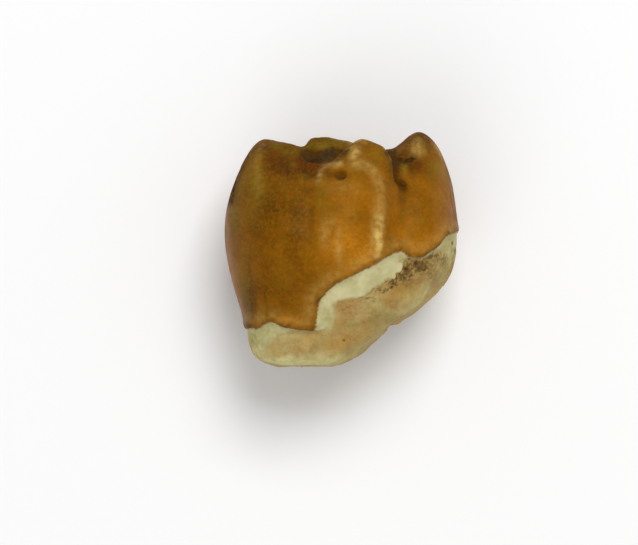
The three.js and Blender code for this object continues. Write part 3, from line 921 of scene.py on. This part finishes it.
# Painted shade in the hollow under the arch.
stain_and_shade = np.maximum(stain_and_shade, 0.55 * ramp(arch_hollow, 0.1, 0.9))
# Painted shade: a soft dark line just above the enamel's margin.
shade_over_margin = bell(above - 0.03, 0.07) * (0.2 + 0.38 * patchy)
stain_and_shade = np.maximum(stain_and_shade, shade_over_margin)
stain_and_shade = np.maximum(stain_and_shade, patch("front", -1.86, -1.56, 0.12, 0.1, 0.6))
# Painted shade just below the front rim.
stain_and_shade = np.maximum(stain_and_shade, patch("front", -0.46, 1.74, 0.3, 0.06, 0.4))

SEDIMENT = [
    ("front", -0.7, 1.87, 0.14, 0.12, 1.0), ("front", -0.2, 1.92, 0.28, 0.1, 1.1),
    ("front", -0.46, 1.83, 0.3, 0.1, 0.95), ("front", 0.92, 1.88, 0.1, 0.07, 0.8),
    ("front", 1.02, 1.7, 0.05, 0.14, 0.85), ("front", 1.17, 1.28, 0.06, 0.14, 0.65),
    ("front", 1.2, 1.75, 0.2, 0.04, 0.7),
]
sediment = np.maximum(sediment, painted(SEDIMENT))
stain_and_shade = np.maximum(stain_and_shade, 0.6 * ramp(blur(sediment * on_top, 16), 0.04, 0.5))
print("stained:", round(100 * np.mean(stain_and_shade > 0.3), 1), "% of the skin")

# %% [markdown]
# The root is tan, with ochre, rosy and olive areas and greenish edges. Black specks of manganese
# crowd below the chalky band, in a brownish haze.

# %% Colours of the root
OCHRE = [
    ("front", -0.2, -1.98, 0.24, 0.22, 0.4), ("front", 0.02, -1.82, 0.1, 0.1, 0.5),
    ("front", -0.5, -2.2, 0.3, 0.12, 0.2), ("tongue", 0.2, -2.0, 0.4, 0.2, 0.6),
    ("cheek", 0.3, -0.4, 0.3, 0.3, 0.6), ("back", -0.6, -1.9, 0.4, 0.3, 0.7),
    ("front", 1.3, -0.9, 0.4, 0.2, 0.3), ("root", -0.95, -0.12, 0.4, 0.35, 0.5),
    ("cheek", 0.4, -0.95, 0.35, 0.3, 0.5), ("cheek", -0.6, -0.98, 0.35, 0.3, 0.5),
]
GREEN = [
    ("front", -1.75, -1.95, 0.2, 0.4, 1.2), ("front", -1.0, -2.24, 0.9, 0.16, 1.1),
    ("root", -1.0, 0.9, 0.9, 0.5, 0.35),
    ("front", 2.2, -0.3, 0.22, 0.6, 0.5), ("front", 1.75, -1.0, 0.4, 0.2, 0.4),
    ("front", -0.3, -1.35, 0.16, 0.3, 0.7), ("front", -1.5, -1.7, 0.5, 0.25, 0.7),
    ("front", 2.2, 0.15, 0.25, 0.2, 0.7),
    ("front", -0.3, -2.2, 0.4, 0.16, 0.9), ("cheek", 0.2, -0.2, 0.8, 0.4, 0.5),
    ("tongue", -0.2, -2.1, 0.8, 0.3, 0.6),
]
SPECKS = [
    ("front", 1.28, -0.44, 0.12, 0.18, 1.3), ("front", 1.52, -0.36, 0.2, 0.13, 1.3),
    ("front", 1.72, -0.14, 0.08, 0.08, 1.1), ("front", 0.98, -0.7, 0.12, 0.08, 1.1),
    ("front", 1.14, -0.56, 0.13, 0.1, 1.2), ("front", 0.78, -0.84, 0.2, 0.06, 0.7),
    ("front", 0.45, -1.02, 0.25, 0.06, 0.5), ("front", 0.02, -1.16, 0.1, 0.08, 0.5),
    ("front", 1.9, -0.16, 0.16, 0.1, 0.6), ("cheek", 0.3, 0.0, 0.5, 0.12, 0.8),
    ("back", 0.4, -1.1, 0.5, 0.12, 0.8), ("tongue", 0.1, -1.75, 0.6, 0.06, 0.5),
]
HAZE = [
    ("front", 1.76, -0.5, 0.22, 0.2, 0.6), ("front", 1.96, -0.27, 0.18, 0.2, 0.7),
    ("front", 1.3, -0.72, 0.25, 0.14, 0.5), ("front", 1.6, -0.25, 0.2, 0.14, 0.6),
    ("front", 0.66, -1.33, 0.3, 0.12, 0.4), ("front", 0.96, -1.1, 0.2, 0.12, 0.35),
    ("front", 2.14, -0.25, 0.1, 0.2, 0.25), ("front", 0.3, -1.15, 0.3, 0.08, 0.2),
    ("cheek", 0.2, -0.4, 0.5, 0.25, 0.5), ("back", 0.9, -1.2, 0.6, 0.2, 0.5),
]
ROSY = [
    ("front", 0.2, -1.2, 0.4, 0.16, 0.9), ("front", -0.9, -1.85, 0.6, 0.16, 0.4),
    ("front", 1.05, -1.1, 0.2, 0.16, 0.7), ("front", 1.6, -0.6, 0.25, 0.1, 0.9),
    ("front", 1.9, -0.3, 0.16, 0.16, 0.6), ("front", -0.15, -1.55, 0.12, 0.2, 0.7),
    ("front", 0.06, -1.8, 0.14, 0.1, 1.0),
    ("cheek", -0.3, -0.8, 0.5, 0.5, 0.5), ("tongue", 0.3, -1.9, 0.5, 0.2, 0.5),
    ("back", -0.2, -1.8, 0.6, 0.3, 0.6),
]
OLIVE_ROOT = [
    ("front", 0.72, -1.32, 0.25, 0.16, 0.8), ("front", 1.5, -0.95, 0.3, 0.18, 0.7),
    ("front", 2.05, -0.55, 0.16, 0.4, 0.7), ("front", 0.2, -1.55, 0.25, 0.12, 0.5),
    ("front", -0.35, -1.8, 0.16, 0.16, 0.5), ("front", -1.3, -1.78, 0.2, 0.08, 0.5),
    ("cheek", 0.0, -0.5, 0.6, 0.3, 0.5), ("root", 0.2, 0.3, 0.6, 0.5, 0.5),
]
rosy = painted(ROSY) + 0.3 * ramp(cloudy(place(), 0.5, 3, 68), 0.1, 0.6)
olive = np.where(above < 0, painted(OLIVE_ROOT), olive)
stain_and_shade = np.where(above < 0, painted(HAZE), stain_and_shade)
ochre = painted(OCHRE) + (0.4 - 0.25 * on_front) * ramp(cloudy(place(), 0.5, 3, 65), 0.1, 0.5)
outer = ramp(1 - evened[:, 2], 0.1, 0.8) * on_front + 0.2 * (1 - on_front)
green = painted(GREEN) + 0.35 * outer + 0.25 * ramp(cloudy(place(), 0.55, 3, 66), 0.0, 0.6)
specks = painted(SPECKS) + 0.22 * (1 - on_front) * ramp(cloudy(place(), 0.5, 3, 67), 0.2, 0.6)
holes = np.maximum(holes, canal)
print("specks lie on", round(100 * np.mean(specks > 0.3), 1), "% of the skin")

# %% [markdown]
# The material can only read what the mesh carries, so each mask becomes a float attribute of the
# vertices. Then the tooth goes back to its real size.

# %% Keep the masks on the mesh
MASKS = {
    "above_margin": above, "band_edge": band_edge, "warmth": warmth, "rust": rust, "olive": olive,
    "pale": pale, "stain_and_shade": stain_and_shade, "dentine": dentine, "sediment": sediment, "crack": crack,
    "crack_shown": crack_shown, "broken": broken, "between": between,
    "hollow": 1000 * hollow_wide * ramp(np.abs(above), 0.1, 0.3) + 25 * blur(canal, 30),
    "ochre": ochre, "green": green, "rosy": rosy, "basin": basin, "specks": specks, "holes": holes,
}
for name, values in MASKS.items():
    layer = mesh.attributes.new(name, "FLOAT", "POINT")
    layer.data.foreach_set("value", values.astype(np.float32))
print("masks:", ", ".join(MASKS))

# %% Back to real size
resize(tooth, 1 / ENLARGED)
print("real size, mm:", [round(1000 * side, 2) for side in tooth.dimensions])

# %% [markdown]
# ## The material
#
# One hard body carries four finishes that grade into each other at ragged edges: glossy enamel,
# the chalky band of inner enamel, dull dentine on the root and on the worn crests, and dark,
# crumbly sediment. Each finish is a node group that gives a colour, a roughness and a height, and
# the material mixes the groups by the masks. A texture's size is given in mm, and the groups turn
# it into the scale that Object coordinates in metres need. Wiring nodes by hand is slow to read in
# a script, so short helpers each add one node and hand back its output.

# %% Helpers for nodes
MM = 0.001


def paint(code):
    """A colour from its six-digit screen code, in the linear values that a shader needs."""
    parts = [int(code[k : k + 2], 16) / 255 for k in (0, 2, 4)]
    return [p / 12.92 if p < 0.04045 else ((p + 0.055) / 1.055) ** 2.4 for p in parts] + [1.0]


def add(tree, kind, inputs=(), **settings):
    """Adds a node. Inputs are (socket, value) pairs, where a value may be another node's socket."""
    node = tree.nodes.new(kind)
    for name, value in settings.items():
        setattr(node, name, value)
    for socket, value in inputs:
        if isinstance(value, bpy.types.NodeSocket):
            tree.links.new(value, node.inputs[socket])
        else:
            node.inputs[socket].default_value = value
    return node


def reckon(tree, operation, a, b=0.0, c=0.0):
    """One Math node, such as ADD or MULTIPLY."""
    pairs = [(0, a), (1, b), (2, c)]
    return add(tree, "ShaderNodeMath", pairs, operation=operation).outputs[0]


def total(tree, parts):
    """Adds up values, each times its weight."""
    result = 0.0
    for value, weight in parts:
        result = reckon(tree, "MULTIPLY_ADD", value, weight, result)
    return result


def fit(tree, value, start, end, low=0.0, high=1.0):
    """A value taken from one range to another, with soft ends."""
    pairs = [("Value", value), (1, start), (2, end), (3, low), (4, high)]
    return add(tree, "ShaderNodeMapRange", pairs, interpolation_type="SMOOTHSTEP").outputs[0]


def blend_colour(tree, factor, a, b, kind="MIX"):
    """Colour b over colour a, as far as the factor says."""
    pairs = [(0, factor), (6, a), (7, b)]
    return add(tree, "ShaderNodeMix", pairs, data_type="RGBA", blend_type=kind).outputs[2]


def blend_value(tree, factor, a, b):
    """Value b over value a, as far as the factor says."""
    return add(tree, "ShaderNodeMix", [(0, factor), (2, a), (3, b)]).outputs[0]


def mask(tree, name):
    """One of the tooth's masks, read from its mesh."""
    return add(tree, "ShaderNodeAttribute", attribute_name=name).outputs["Fac"]


print("amber as the shader sees it:", [round(part, 3) for part in paint("A0620A")])

# %% Helpers for node groups
def new_group(name, numbers, outputs):
    """A node group with number inputs, and outputs of the types given."""
    group = bpy.data.node_groups.new(name, "ShaderNodeTree")
    for label, value in numbers:
        socket = group.interface.new_socket(label, in_out="INPUT", socket_type="NodeSocketFloat")
        socket.default_value = value
    for label, kind in outputs:
        group.interface.new_socket(label, in_out="OUTPUT", socket_type="NodeSocket" + kind)
    return group, group.nodes.new("NodeGroupInput"), group.nodes.new("NodeGroupOutput")


def give(group, end, **values):
    """Joins a group's results to its outputs."""
    for name, value in values.items():
        group.links.new(value, end.inputs[name])


def use(tree, group, pairs=()):
    """Places a node group in a material or in another group."""
    node = tree.nodes.new("ShaderNodeGroup")
    node.node_tree = group
    for socket, value in pairs:
        if isinstance(value, bpy.types.NodeSocket):
            tree.links.new(value, node.inputs[socket])
        else:
            node.inputs[socket].default_value = value
    return node.outputs


print("node groups so far:", len(bpy.data.node_groups))

# %% [markdown]
# Two patterns serve all the finishes. Mottle is soft noise, and specks are the dots that a
# Voronoi texture leaves when only some of its cells are kept. Both are node groups, so each is
# built once and placed with its own size.

# %% Mottle: soft blotches of a given size
mottle, start, end = new_group(
    "mottle", [("Size", 0.2), ("Detail", 3.0), ("Seed", 0.0)], [("Value", "Float")]
)
where = add(mottle, "ShaderNodeTexCoord").outputs["Object"]
shift = add(mottle, "ShaderNodeCombineXYZ", [(i, start.outputs["Seed"]) for i in range(3)])
scale = reckon(mottle, "DIVIDE", 1 / MM, start.outputs["Size"])
scaled = add(mottle, "ShaderNodeVectorMath", [(0, where)], operation="SCALE")
mottle.links.new(scale, scaled.inputs["Scale"])
moved = add(mottle, "ShaderNodeVectorMath", [(0, scaled.outputs[0]), (1, shift.outputs[0])])
blotches = add(
    mottle, "ShaderNodeTexNoise",
    [("Vector", moved.outputs[0]), ("Scale", 1.0), ("Detail", start.outputs["Detail"])],
)
give(mottle, end, Value=blotches.outputs["Fac"])
print("group:", mottle.name)


def blotch(tree, size, detail, seed):
    """Mottle as a mask of 0 to 1, with lumps of this size in mm."""
    return use(tree, mottle, [("Size", size), ("Detail", detail), ("Seed", seed)])["Value"]


def lay(tree, colour, layers):
    """Lays colours over each other.

    A layer is a mask's name (or another value, or None for all over), a mottle that makes it
    uneven, the mottle's range and the amounts that it turns into, and the colour's code.
    """
    for amount, lumps, spread, code in layers:
        uneven = fit(tree, blotch(tree, *lumps), *spread)
        if isinstance(amount, str):
            amount = mask(tree, amount)
        if amount is not None:
            uneven = reckon(tree, "MULTIPLY", amount, uneven)
        colour = blend_colour(tree, uneven, colour, paint(code))
    return colour

# %% Specks: round dots of a given size, as dirt leaves them
speck, start, end = new_group("specks", [("Size", 0.06), ("Share", 0.5)], [("Value", "Float")])
where = add(speck, "ShaderNodeTexCoord").outputs["Object"]
scale = reckon(speck, "DIVIDE", 1 / MM, start.outputs["Size"])
cells = add(speck, "ShaderNodeTexVoronoi", [("Vector", where), ("Scale", scale)])
chance = add(speck, "ShaderNodeSeparateColor", [(0, cells.outputs["Color"])]).outputs["Red"]
present = fit(speck, reckon(speck, "SUBTRACT", start.outputs["Share"], chance), -0.02, 0.1)
dot = fit(speck, cells.outputs["Distance"], 0.5, 0.15)
give(speck, end, Value=reckon(speck, "MULTIPLY", present, dot))
print("group:", speck.name)

# %% [markdown]
# ## Enamel
#
# Fossil enamel has taken up iron from the ground, so it is amber, translucent in life but almost
# opaque now. A colour ramp turns the painted warmth into five ambers. Fine flecks and the painted
# rust, olive, pale and stain masks are laid over it, each broken up by its own mottle. The pale mask
# holds painted highlights as well as wear, the stain mask painted shade as well as stains, and the
# hollows get painted shade too. Low growth lines run along the margin and give the gloss something
# to break on.

# %% Enamel
FINISH = [("Colour", "Color"), ("Roughness", "Float"), ("Height", "Float")]
AMBER = ["422401", "633A01", "825003", "A0620A", "B87616"]  # from deep brown to warm orange
GROWTH_LINE = 0.085  # spacing of the growth lines, in mm
ENAMEL_LAYERS = [  # mask, (size, detail, seed), (from, to, least, most), colour
    (None, (0.07, 4, 16), (0.48, 0.68, 0.0, 0.4), "8E4A08"),
    (None, (0.06, 4, 17), (0.48, 0.68, 0.0, 0.35), "6E5C0A"),
    (None, (0.07, 3, 19), (0.46, 0.76, 0.0, 0.16), "A47818"),
    (None, (0.07, 3, 20), (0.46, 0.76, 0.0, 0.17), "54360A"),
    ("rust", (0.12, 5, 3), (0.32, 0.68, 0.2, 1.3), "5E2E04"),
    ("olive", (0.1, 4, 4), (0.3, 0.7, 0.5, 1.2), "7A6416"),
    # Painted highlights together with wear.
    ("pale", (0.13, 5, 5), (0.3, 0.7, 0.35, 1.25), "CCAA5C"),
    # Stains together with painted shade.
    ("stain_and_shade", (0.08, 4, 18), (0.3, 0.7, 0.5, 1.15), "341C04"),
]
DULLED = [("olive", 0.12), ("basin", 0.22), ("stain_and_shade", 0.4)]  # what makes the gloss duller there

enamel_finish, _, end = new_group("enamel finish", [], FINISH)
g = enamel_finish
warm = total(g, [
    (mask(g, "warmth"), 1.0),
    (fit(g, blotch(g, 0.34, 4, 1), 0.3, 0.7, -0.07, 0.07), 1.0),
    (fit(g, blotch(g, 0.07, 3, 2), 0.3, 0.7, -0.05, 0.05), 1.0),
])
shades = add(g, "ShaderNodeValToRGB", [("Fac", warm)])
for _ in AMBER[2:]:
    shades.color_ramp.elements.new(0.5)
for k, code in enumerate(AMBER):
    shades.color_ramp.elements[k].position = k / (len(AMBER) - 1)
    shades.color_ramp.elements[k].color = paint(code)
colour = lay(g, shades.outputs["Color"], ENAMEL_LAYERS)
# Painted shade: darker where the skin is hollow.
hollow_shade = fit(g, mask(g, "hollow"), 5.0, 20.0, 0.0, 0.4)
colour = blend_colour(g, hollow_shade, colour, paint("3C2006"))

growth = reckon(g, "DIVIDE", mask(g, "above_margin"), GROWTH_LINE / (2 * math.pi))
growth = reckon(g, "ADD", growth, fit(g, blotch(g, 0.9, 2, 6), 0, 1, -2.5, 2.5))
growth = reckon(g, "SINE", growth)
faded = fit(g, blotch(g, 0.6, 2, 7), 0.4, 0.65)
growth = reckon(g, "MULTIPLY", growth, faded)
swell, fine = blotch(g, 0.2, 3, 9), blotch(g, 0.05, 4, 8)
height = total(g, [(growth, 0.06), (fine, 0.4), (swell, 0.8)])
rough = fit(g, blotch(g, 0.3, 4, 10), 0.3, 0.7, 0.38, 0.52)
rough = total(g, [(rough, 1.0)] + [(mask(g, name), more) for name, more in DULLED])
give(g, end, Colour=colour, Roughness=rough, Height=height)
print("group:", g.name, "with", len(g.nodes), "nodes")

# %% [markdown]
# ## Chalk, dentine and sediment
#
# The chalky band is inner enamel that has lost its gloss: pale, powdery and a little green where
# damp sat on it.

# %% Chalky band of inner enamel
CHALK_LAYERS = [
    (None, (0.18, 4, 12), (0.56, 0.75, 0.0, 0.5), "9C9462"),
    ("green", (0.08, 4, 33), (0.3, 0.7, 0.3, 0.9), "A29A60"),
]

chalk_finish, _, end = new_group("chalk finish", [], FINISH)
g = chalk_finish
tint = fit(g, blotch(g, 0.3, 4, 11), 0.3, 0.7)
colour = lay(g, blend_colour(g, tint, paint("B4AC7A"), paint("CAC294")), CHALK_LAYERS)
near_root = fit(g, mask(g, "band_edge"), 0.08, 0.0, 0.0, 0.3)
colour = blend_colour(g, near_root, colour, paint("8E8250"))
height = total(g, [(blotch(g, 0.12, 5, 13), 1.0), (blotch(g, 0.03, 3, 14), 0.4)])
rough = fit(g, blotch(g, 0.1, 3, 15), 0.3, 0.7, 0.72, 0.88)
give(g, end, Colour=colour, Roughness=rough, Height=height)
print("group:", g.name, "with", len(g.nodes), "nodes")

# %% [markdown]
# The root's dentine is dull and mottled in tan, rose and olive. Dots of manganese sit in a murky
# haze. The broken end is paler and full of fine pores, and its hollows are darkened as painted shade.

# %% Dentine of the root
ROOT_LAYERS = [
    ("rosy", (0.07, 4, 22), (0.35, 0.65, 0.25, 0.75), "A27448"),
    ("olive", (0.1, 4, 34), (0.35, 0.65, 0.3, 0.9), "928A4A"),
    (None, (0.06, 4, 29), (0.48, 0.66, 0.0, 0.6), "9A9254"),
    (None, (0.055, 4, 40), (0.5, 0.66, 0.0, 0.5), "AE7E50"),
    (None, (0.05, 3, 25), (0.54, 0.72, 0.0, 0.4), "7C6636"),
    ("green", (0.2, 5, 23), (0.3, 0.7, 0.5, 1.2), "CCC68C"),
    ("ochre", (0.1, 4, 24), (0.3, 0.7, 0.5, 1.2), "BA8C34"),
    ("stain_and_shade", (0.08, 4, 44), (0.3, 0.7, 0.4, 1.3), "785A2A"),
]
BREAK_LAYERS = [
    ("between", (0.3, 5, 39), (0.3, 0.7, 0.2, 0.7), "866C3C"),
    ("broken", (0.09, 5, 36), (0.4, 0.6, 0.0, 0.6), "B8A26C"),
]

root_finish, _, end = new_group("root finish", [], FINISH)
g = root_finish
tint = fit(g, blotch(g, 0.18, 6, 21), 0.3, 0.7)
colour = lay(g, blend_colour(g, tint, paint("98763E"), paint("AE9054")), ROOT_LAYERS)

coarse = use(g, speck, [("Size", 0.075), ("Share", 0.28)])["Value"]
small = use(g, speck, [("Size", 0.045), ("Share", 0.3)])["Value"]
dots = reckon(g, "MAXIMUM", coarse, small)
dots = reckon(g, "MULTIPLY", dots, fit(g, mask(g, "specks"), 0.1, 0.9))
uneven = fit(g, blotch(g, 0.06, 4, 30), 0.35, 0.65, -0.4, 0.35)
murk = fit(g, reckon(g, "ADD", mask(g, "specks"), uneven), 0.1, 1.1, 0.0, 0.9)
colour = blend_colour(g, murk, colour, paint("5E4826"))
colour = blend_colour(g, reckon(g, "MULTIPLY", dots, 0.7), colour, paint("40301A"))

# Painted shade: darker in the root's hollows and round the canals.
hollow_shade = fit(g, mask(g, "hollow"), 2.0, 45.0, 0.0, 0.7)
colour = lay(g, colour, [(hollow_shade, (0.25, 5, 35), (0.3, 0.7, 0.3, 1.0), "6A5026")] + BREAK_LAYERS)
pores = use(g, speck, [("Size", 0.06), ("Share", 0.16)])["Value"]
pores = reckon(g, "MULTIPLY", pores, mask(g, "broken"))
colour = blend_colour(g, reckon(g, "MULTIPLY", pores, 0.55), colour, paint("4E3818"))

granular = reckon(g, "MULTIPLY", blotch(g, 0.08, 5, 37), mask(g, "broken"))
lumps, grain = blotch(g, 0.14, 5, 26), blotch(g, 0.04, 4, 27)
height = total(g, [(lumps, 1.6), (grain, 0.7), (dots, -0.5), (granular, 3.0)])
rough = fit(g, blotch(g, 0.1, 3, 28), 0.3, 0.7, 0.6, 0.8)
give(g, end, Colour=colour, Roughness=rough, Height=height)
print("group:", g.name, "with", len(g.nodes), "nodes")

# %% [markdown]
# Sediment is fine sand and clay, packed hard: nearly black, browner in places, and quite matt.

# %% Sediment
SEDIMENT_LAYERS = [
    (None, (0.3, 4, 38), (0.4, 0.65, 0.0, 0.5), "5A3E16"),
    (None, (0.03, 2, 32), (0.6, 0.76, 0.0, 0.35), "6A5228"),
]

sediment_finish, _, end = new_group("sediment finish", [], FINISH)
g = sediment_finish
grains = blotch(g, 0.05, 4, 31)
colour = blend_colour(g, fit(g, grains, 0.3, 0.7), paint("2E210E"), paint("46341A"))
colour = lay(g, colour, SEDIMENT_LAYERS)
height = reckon(g, "MULTIPLY", grains, 2.5)
rough = fit(g, grains, 0.3, 0.7, 0.85, 0.95)
give(g, end, Colour=colour, Roughness=rough, Height=height)
print("group:", g.name, "with", len(g.nodes), "nodes")

# %% [markdown]
# ## All the finishes in one material
#
# Where one finish ends and the next begins is decided by the masks, made ragged with fine mottle.
# Separate materials on separate faces would end along the mesh's edges, in steps. The finishes are
# laid in order, as they lie on the tooth: root, chalk, enamel, worn dentine, sediment.

# %% Where each finish lies
material = bpy.data.materials.new("fossil tooth")
material.use_nodes = True
t = material.node_tree

ragged_fine = fit(t, blotch(t, 0.06, 4, 41), 0.25, 0.75, -0.014, 0.014)
edge = reckon(t, "ADD", mask(t, "above_margin"), ragged_fine)
is_enamel = fit(t, edge, -0.026, 0.03)
is_chalk = fit(t, total(t, [(mask(t, "band_edge"), 1.0), (ragged_fine, 1.6)]), -0.04, 0.05)
is_dentine = fit(t, mask(t, "dentine"), 0.25, 0.9, 0.0, 0.7)
clumps = fit(t, blotch(t, 0.16, 5, 42), 0.3, 0.7, -0.3, 0.25)
is_sediment = fit(t, reckon(t, "ADD", mask(t, "sediment"), clumps), 0.15, 0.95)
COVERS = {
    "chalk": is_chalk, "enamel": is_enamel, "worn dentine": is_dentine, "sediment": is_sediment,
}
print("masks that part the finishes:", ", ".join(COVERS))

# %% Lay the finishes over each other
ORDER = {
    "root": root_finish, "chalk": chalk_finish, "enamel": enamel_finish, "worn dentine": root_finish,
    "sediment": sediment_finish,
}
FOOD_STAIN = 0.75  # worn dentine is the root's dentine, darkened this much by food

finish = {name: use(t, group) for name, group in ORDER.items()}
colour, rough, height = (finish["root"][name] for name in ("Colour", "Roughness", "Height"))
worn_colour = blend_colour(t, FOOD_STAIN, finish["worn dentine"]["Colour"], paint("6E4214"))
for name, cover in COVERS.items():
    over = worn_colour if name == "worn dentine" else finish[name]["Colour"]
    colour = blend_colour(t, cover, colour, over)
    rough = blend_value(t, cover, rough, finish[name]["Roughness"])
    height = blend_value(t, cover, height, finish[name]["Height"])
print("laid in order:", ", ".join(finish))

# %% Holes, the dark line under the enamel's edge, and cracks
colour = blend_colour(t, fit(t, mask(t, "holes"), 0.3, 0.9, 0.0, 0.8), colour, paint("4E2A10"))
# Partly dirt, partly painted shade: a dark line along the enamel's edge.
from_edge = reckon(t, "ABSOLUTE", reckon(t, "ADD", edge, 0.002))
dirt_and_shade_under_edge = fit(t, from_edge, 0.035, 0.0)
dirt_and_shade_under_edge = reckon(t, "MULTIPLY", dirt_and_shade_under_edge, fit(t, blotch(t, 0.25, 3, 43), 0.4, 0.6, 0.06, 0.42))
colour = blend_colour(t, dirt_and_shade_under_edge, colour, paint("664630"))
from_crack = reckon(t, "ABSOLUTE", mask(t, "crack"))
hairline = fit(t, from_crack, 0.012, 0.002, 0.0, 0.6)
around = fit(t, from_crack, 0.08, 0.0, 0.0, 0.3)
hairline = reckon(t, "MULTIPLY", reckon(t, "MAXIMUM", hairline, around), mask(t, "crack_shown"))
colour = blend_colour(t, hairline, colour, paint("2C1606"))
height = total(t, [(hairline, -1.2), (height, 1.0)])
print("nodes so far:", len(t.nodes))

# %% The shader
BUMP = 0.006  # height of one unit of the finishes' relief, in mm
SHEEN = 0.1  # low, because fossil enamel shows no white glare at its edges
AMBER_SHEEN = (1.0, 0.72, 0.32, 1.0)

shader = t.nodes["Principled BSDF"]
bump = add(t, "ShaderNodeBump", [("Height", height), ("Distance", BUMP * MM), ("Strength", 1.0)])
t.links.new(colour, shader.inputs["Base Color"])
t.links.new(rough, shader.inputs["Roughness"])
t.links.new(bump.outputs["Normal"], shader.inputs["Normal"])
shader.inputs["Specular IOR Level"].default_value = SHEEN
shader.inputs["Specular Tint"].default_value = AMBER_SHEEN
tooth.data.materials.append(material)
print("material:", material.name, "with", len(t.nodes), "nodes")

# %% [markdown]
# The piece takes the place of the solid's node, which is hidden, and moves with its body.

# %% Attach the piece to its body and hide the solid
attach(tooth, "root")
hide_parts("tooth")
print(tooth.name, "has", len(tooth.data.materials), "material")

# %% [markdown]
# ## Table, light and camera
#
# The tooth lies on a plain pale table under soft light. A large soft lamp stands a little to the
# right and above, so the tongue-side lobe falls off gently into shade. The camera looks straight
# down at the front wall from ten centimetres, through a long lens, as a microscope's camera does.

# %% Table
TABLE_SIZE = 0.8  # in metres
PALE = (0.9, 0.9, 0.9, 1)
MATT = 0.9

bpy.ops.mesh.primitive_plane_add(size=TABLE_SIZE, location=(0, 0, 0))
table = bpy.context.object
table.name = "table"
table_paint = bpy.data.materials.new("pale table")
table_paint.use_nodes = True
table_shader = table_paint.node_tree.nodes["Principled BSDF"]
table_shader.inputs["Base Color"].default_value = PALE
table_shader.inputs["Roughness"].default_value = MATT
table.data.materials.append(table_paint)
print("table:", TABLE_SIZE, "m across")

# %% Light
SKY = 0.46  # strength of the even light from all round
LAMPS = {  # place in metres, width in metres, power in watts
    "key": ((0.035, 0.1, 0.18), 0.1, 0.28),
    "fill": ((-0.06, -0.12, 0.14), 0.14, 0.07),
}

world = bpy.data.worlds.new("studio")
bpy.context.scene.world = world
world.use_nodes = True
world.node_tree.nodes["Background"].inputs["Color"].default_value = (1, 1, 1, 1)
world.node_tree.nodes["Background"].inputs["Strength"].default_value = SKY
for name, (spot, width, power) in LAMPS.items():
    light = bpy.data.lights.new(name, "AREA")
    light.size = width
    light.energy = power
    lamp = bpy.data.objects.new(name, light)
    lamp.location = spot
    lamp.rotation_mode = "QUATERNION"
    lamp.rotation_quaternion = (-Vector(spot)).to_track_quat("-Z", "Y")
    lamp.visible_camera = False
    bpy.context.collection.objects.link(lamp)
bpy.context.scene.view_settings.view_transform = "Standard"
print("lamps:", ", ".join(LAMPS))

# %% Camera
CAMERA_PLACE = (-0.00046, -0.00048, 0.1018)
LENS = 282  # focal length in mm
SENSOR = 36
NEAR = 0.01
FURTHEST = 2

view = bpy.data.cameras.new("camera")
view.lens = LENS
view.sensor_width = SENSOR
view.clip_start = NEAR
view.clip_end = FURTHEST
camera = bpy.data.objects.new("camera", view)
camera.location = CAMERA_PLACE
bpy.context.collection.objects.link(camera)
bpy.context.scene.camera = camera
print("camera:", round(1000 * CAMERA_PLACE[2]), "mm above the table")
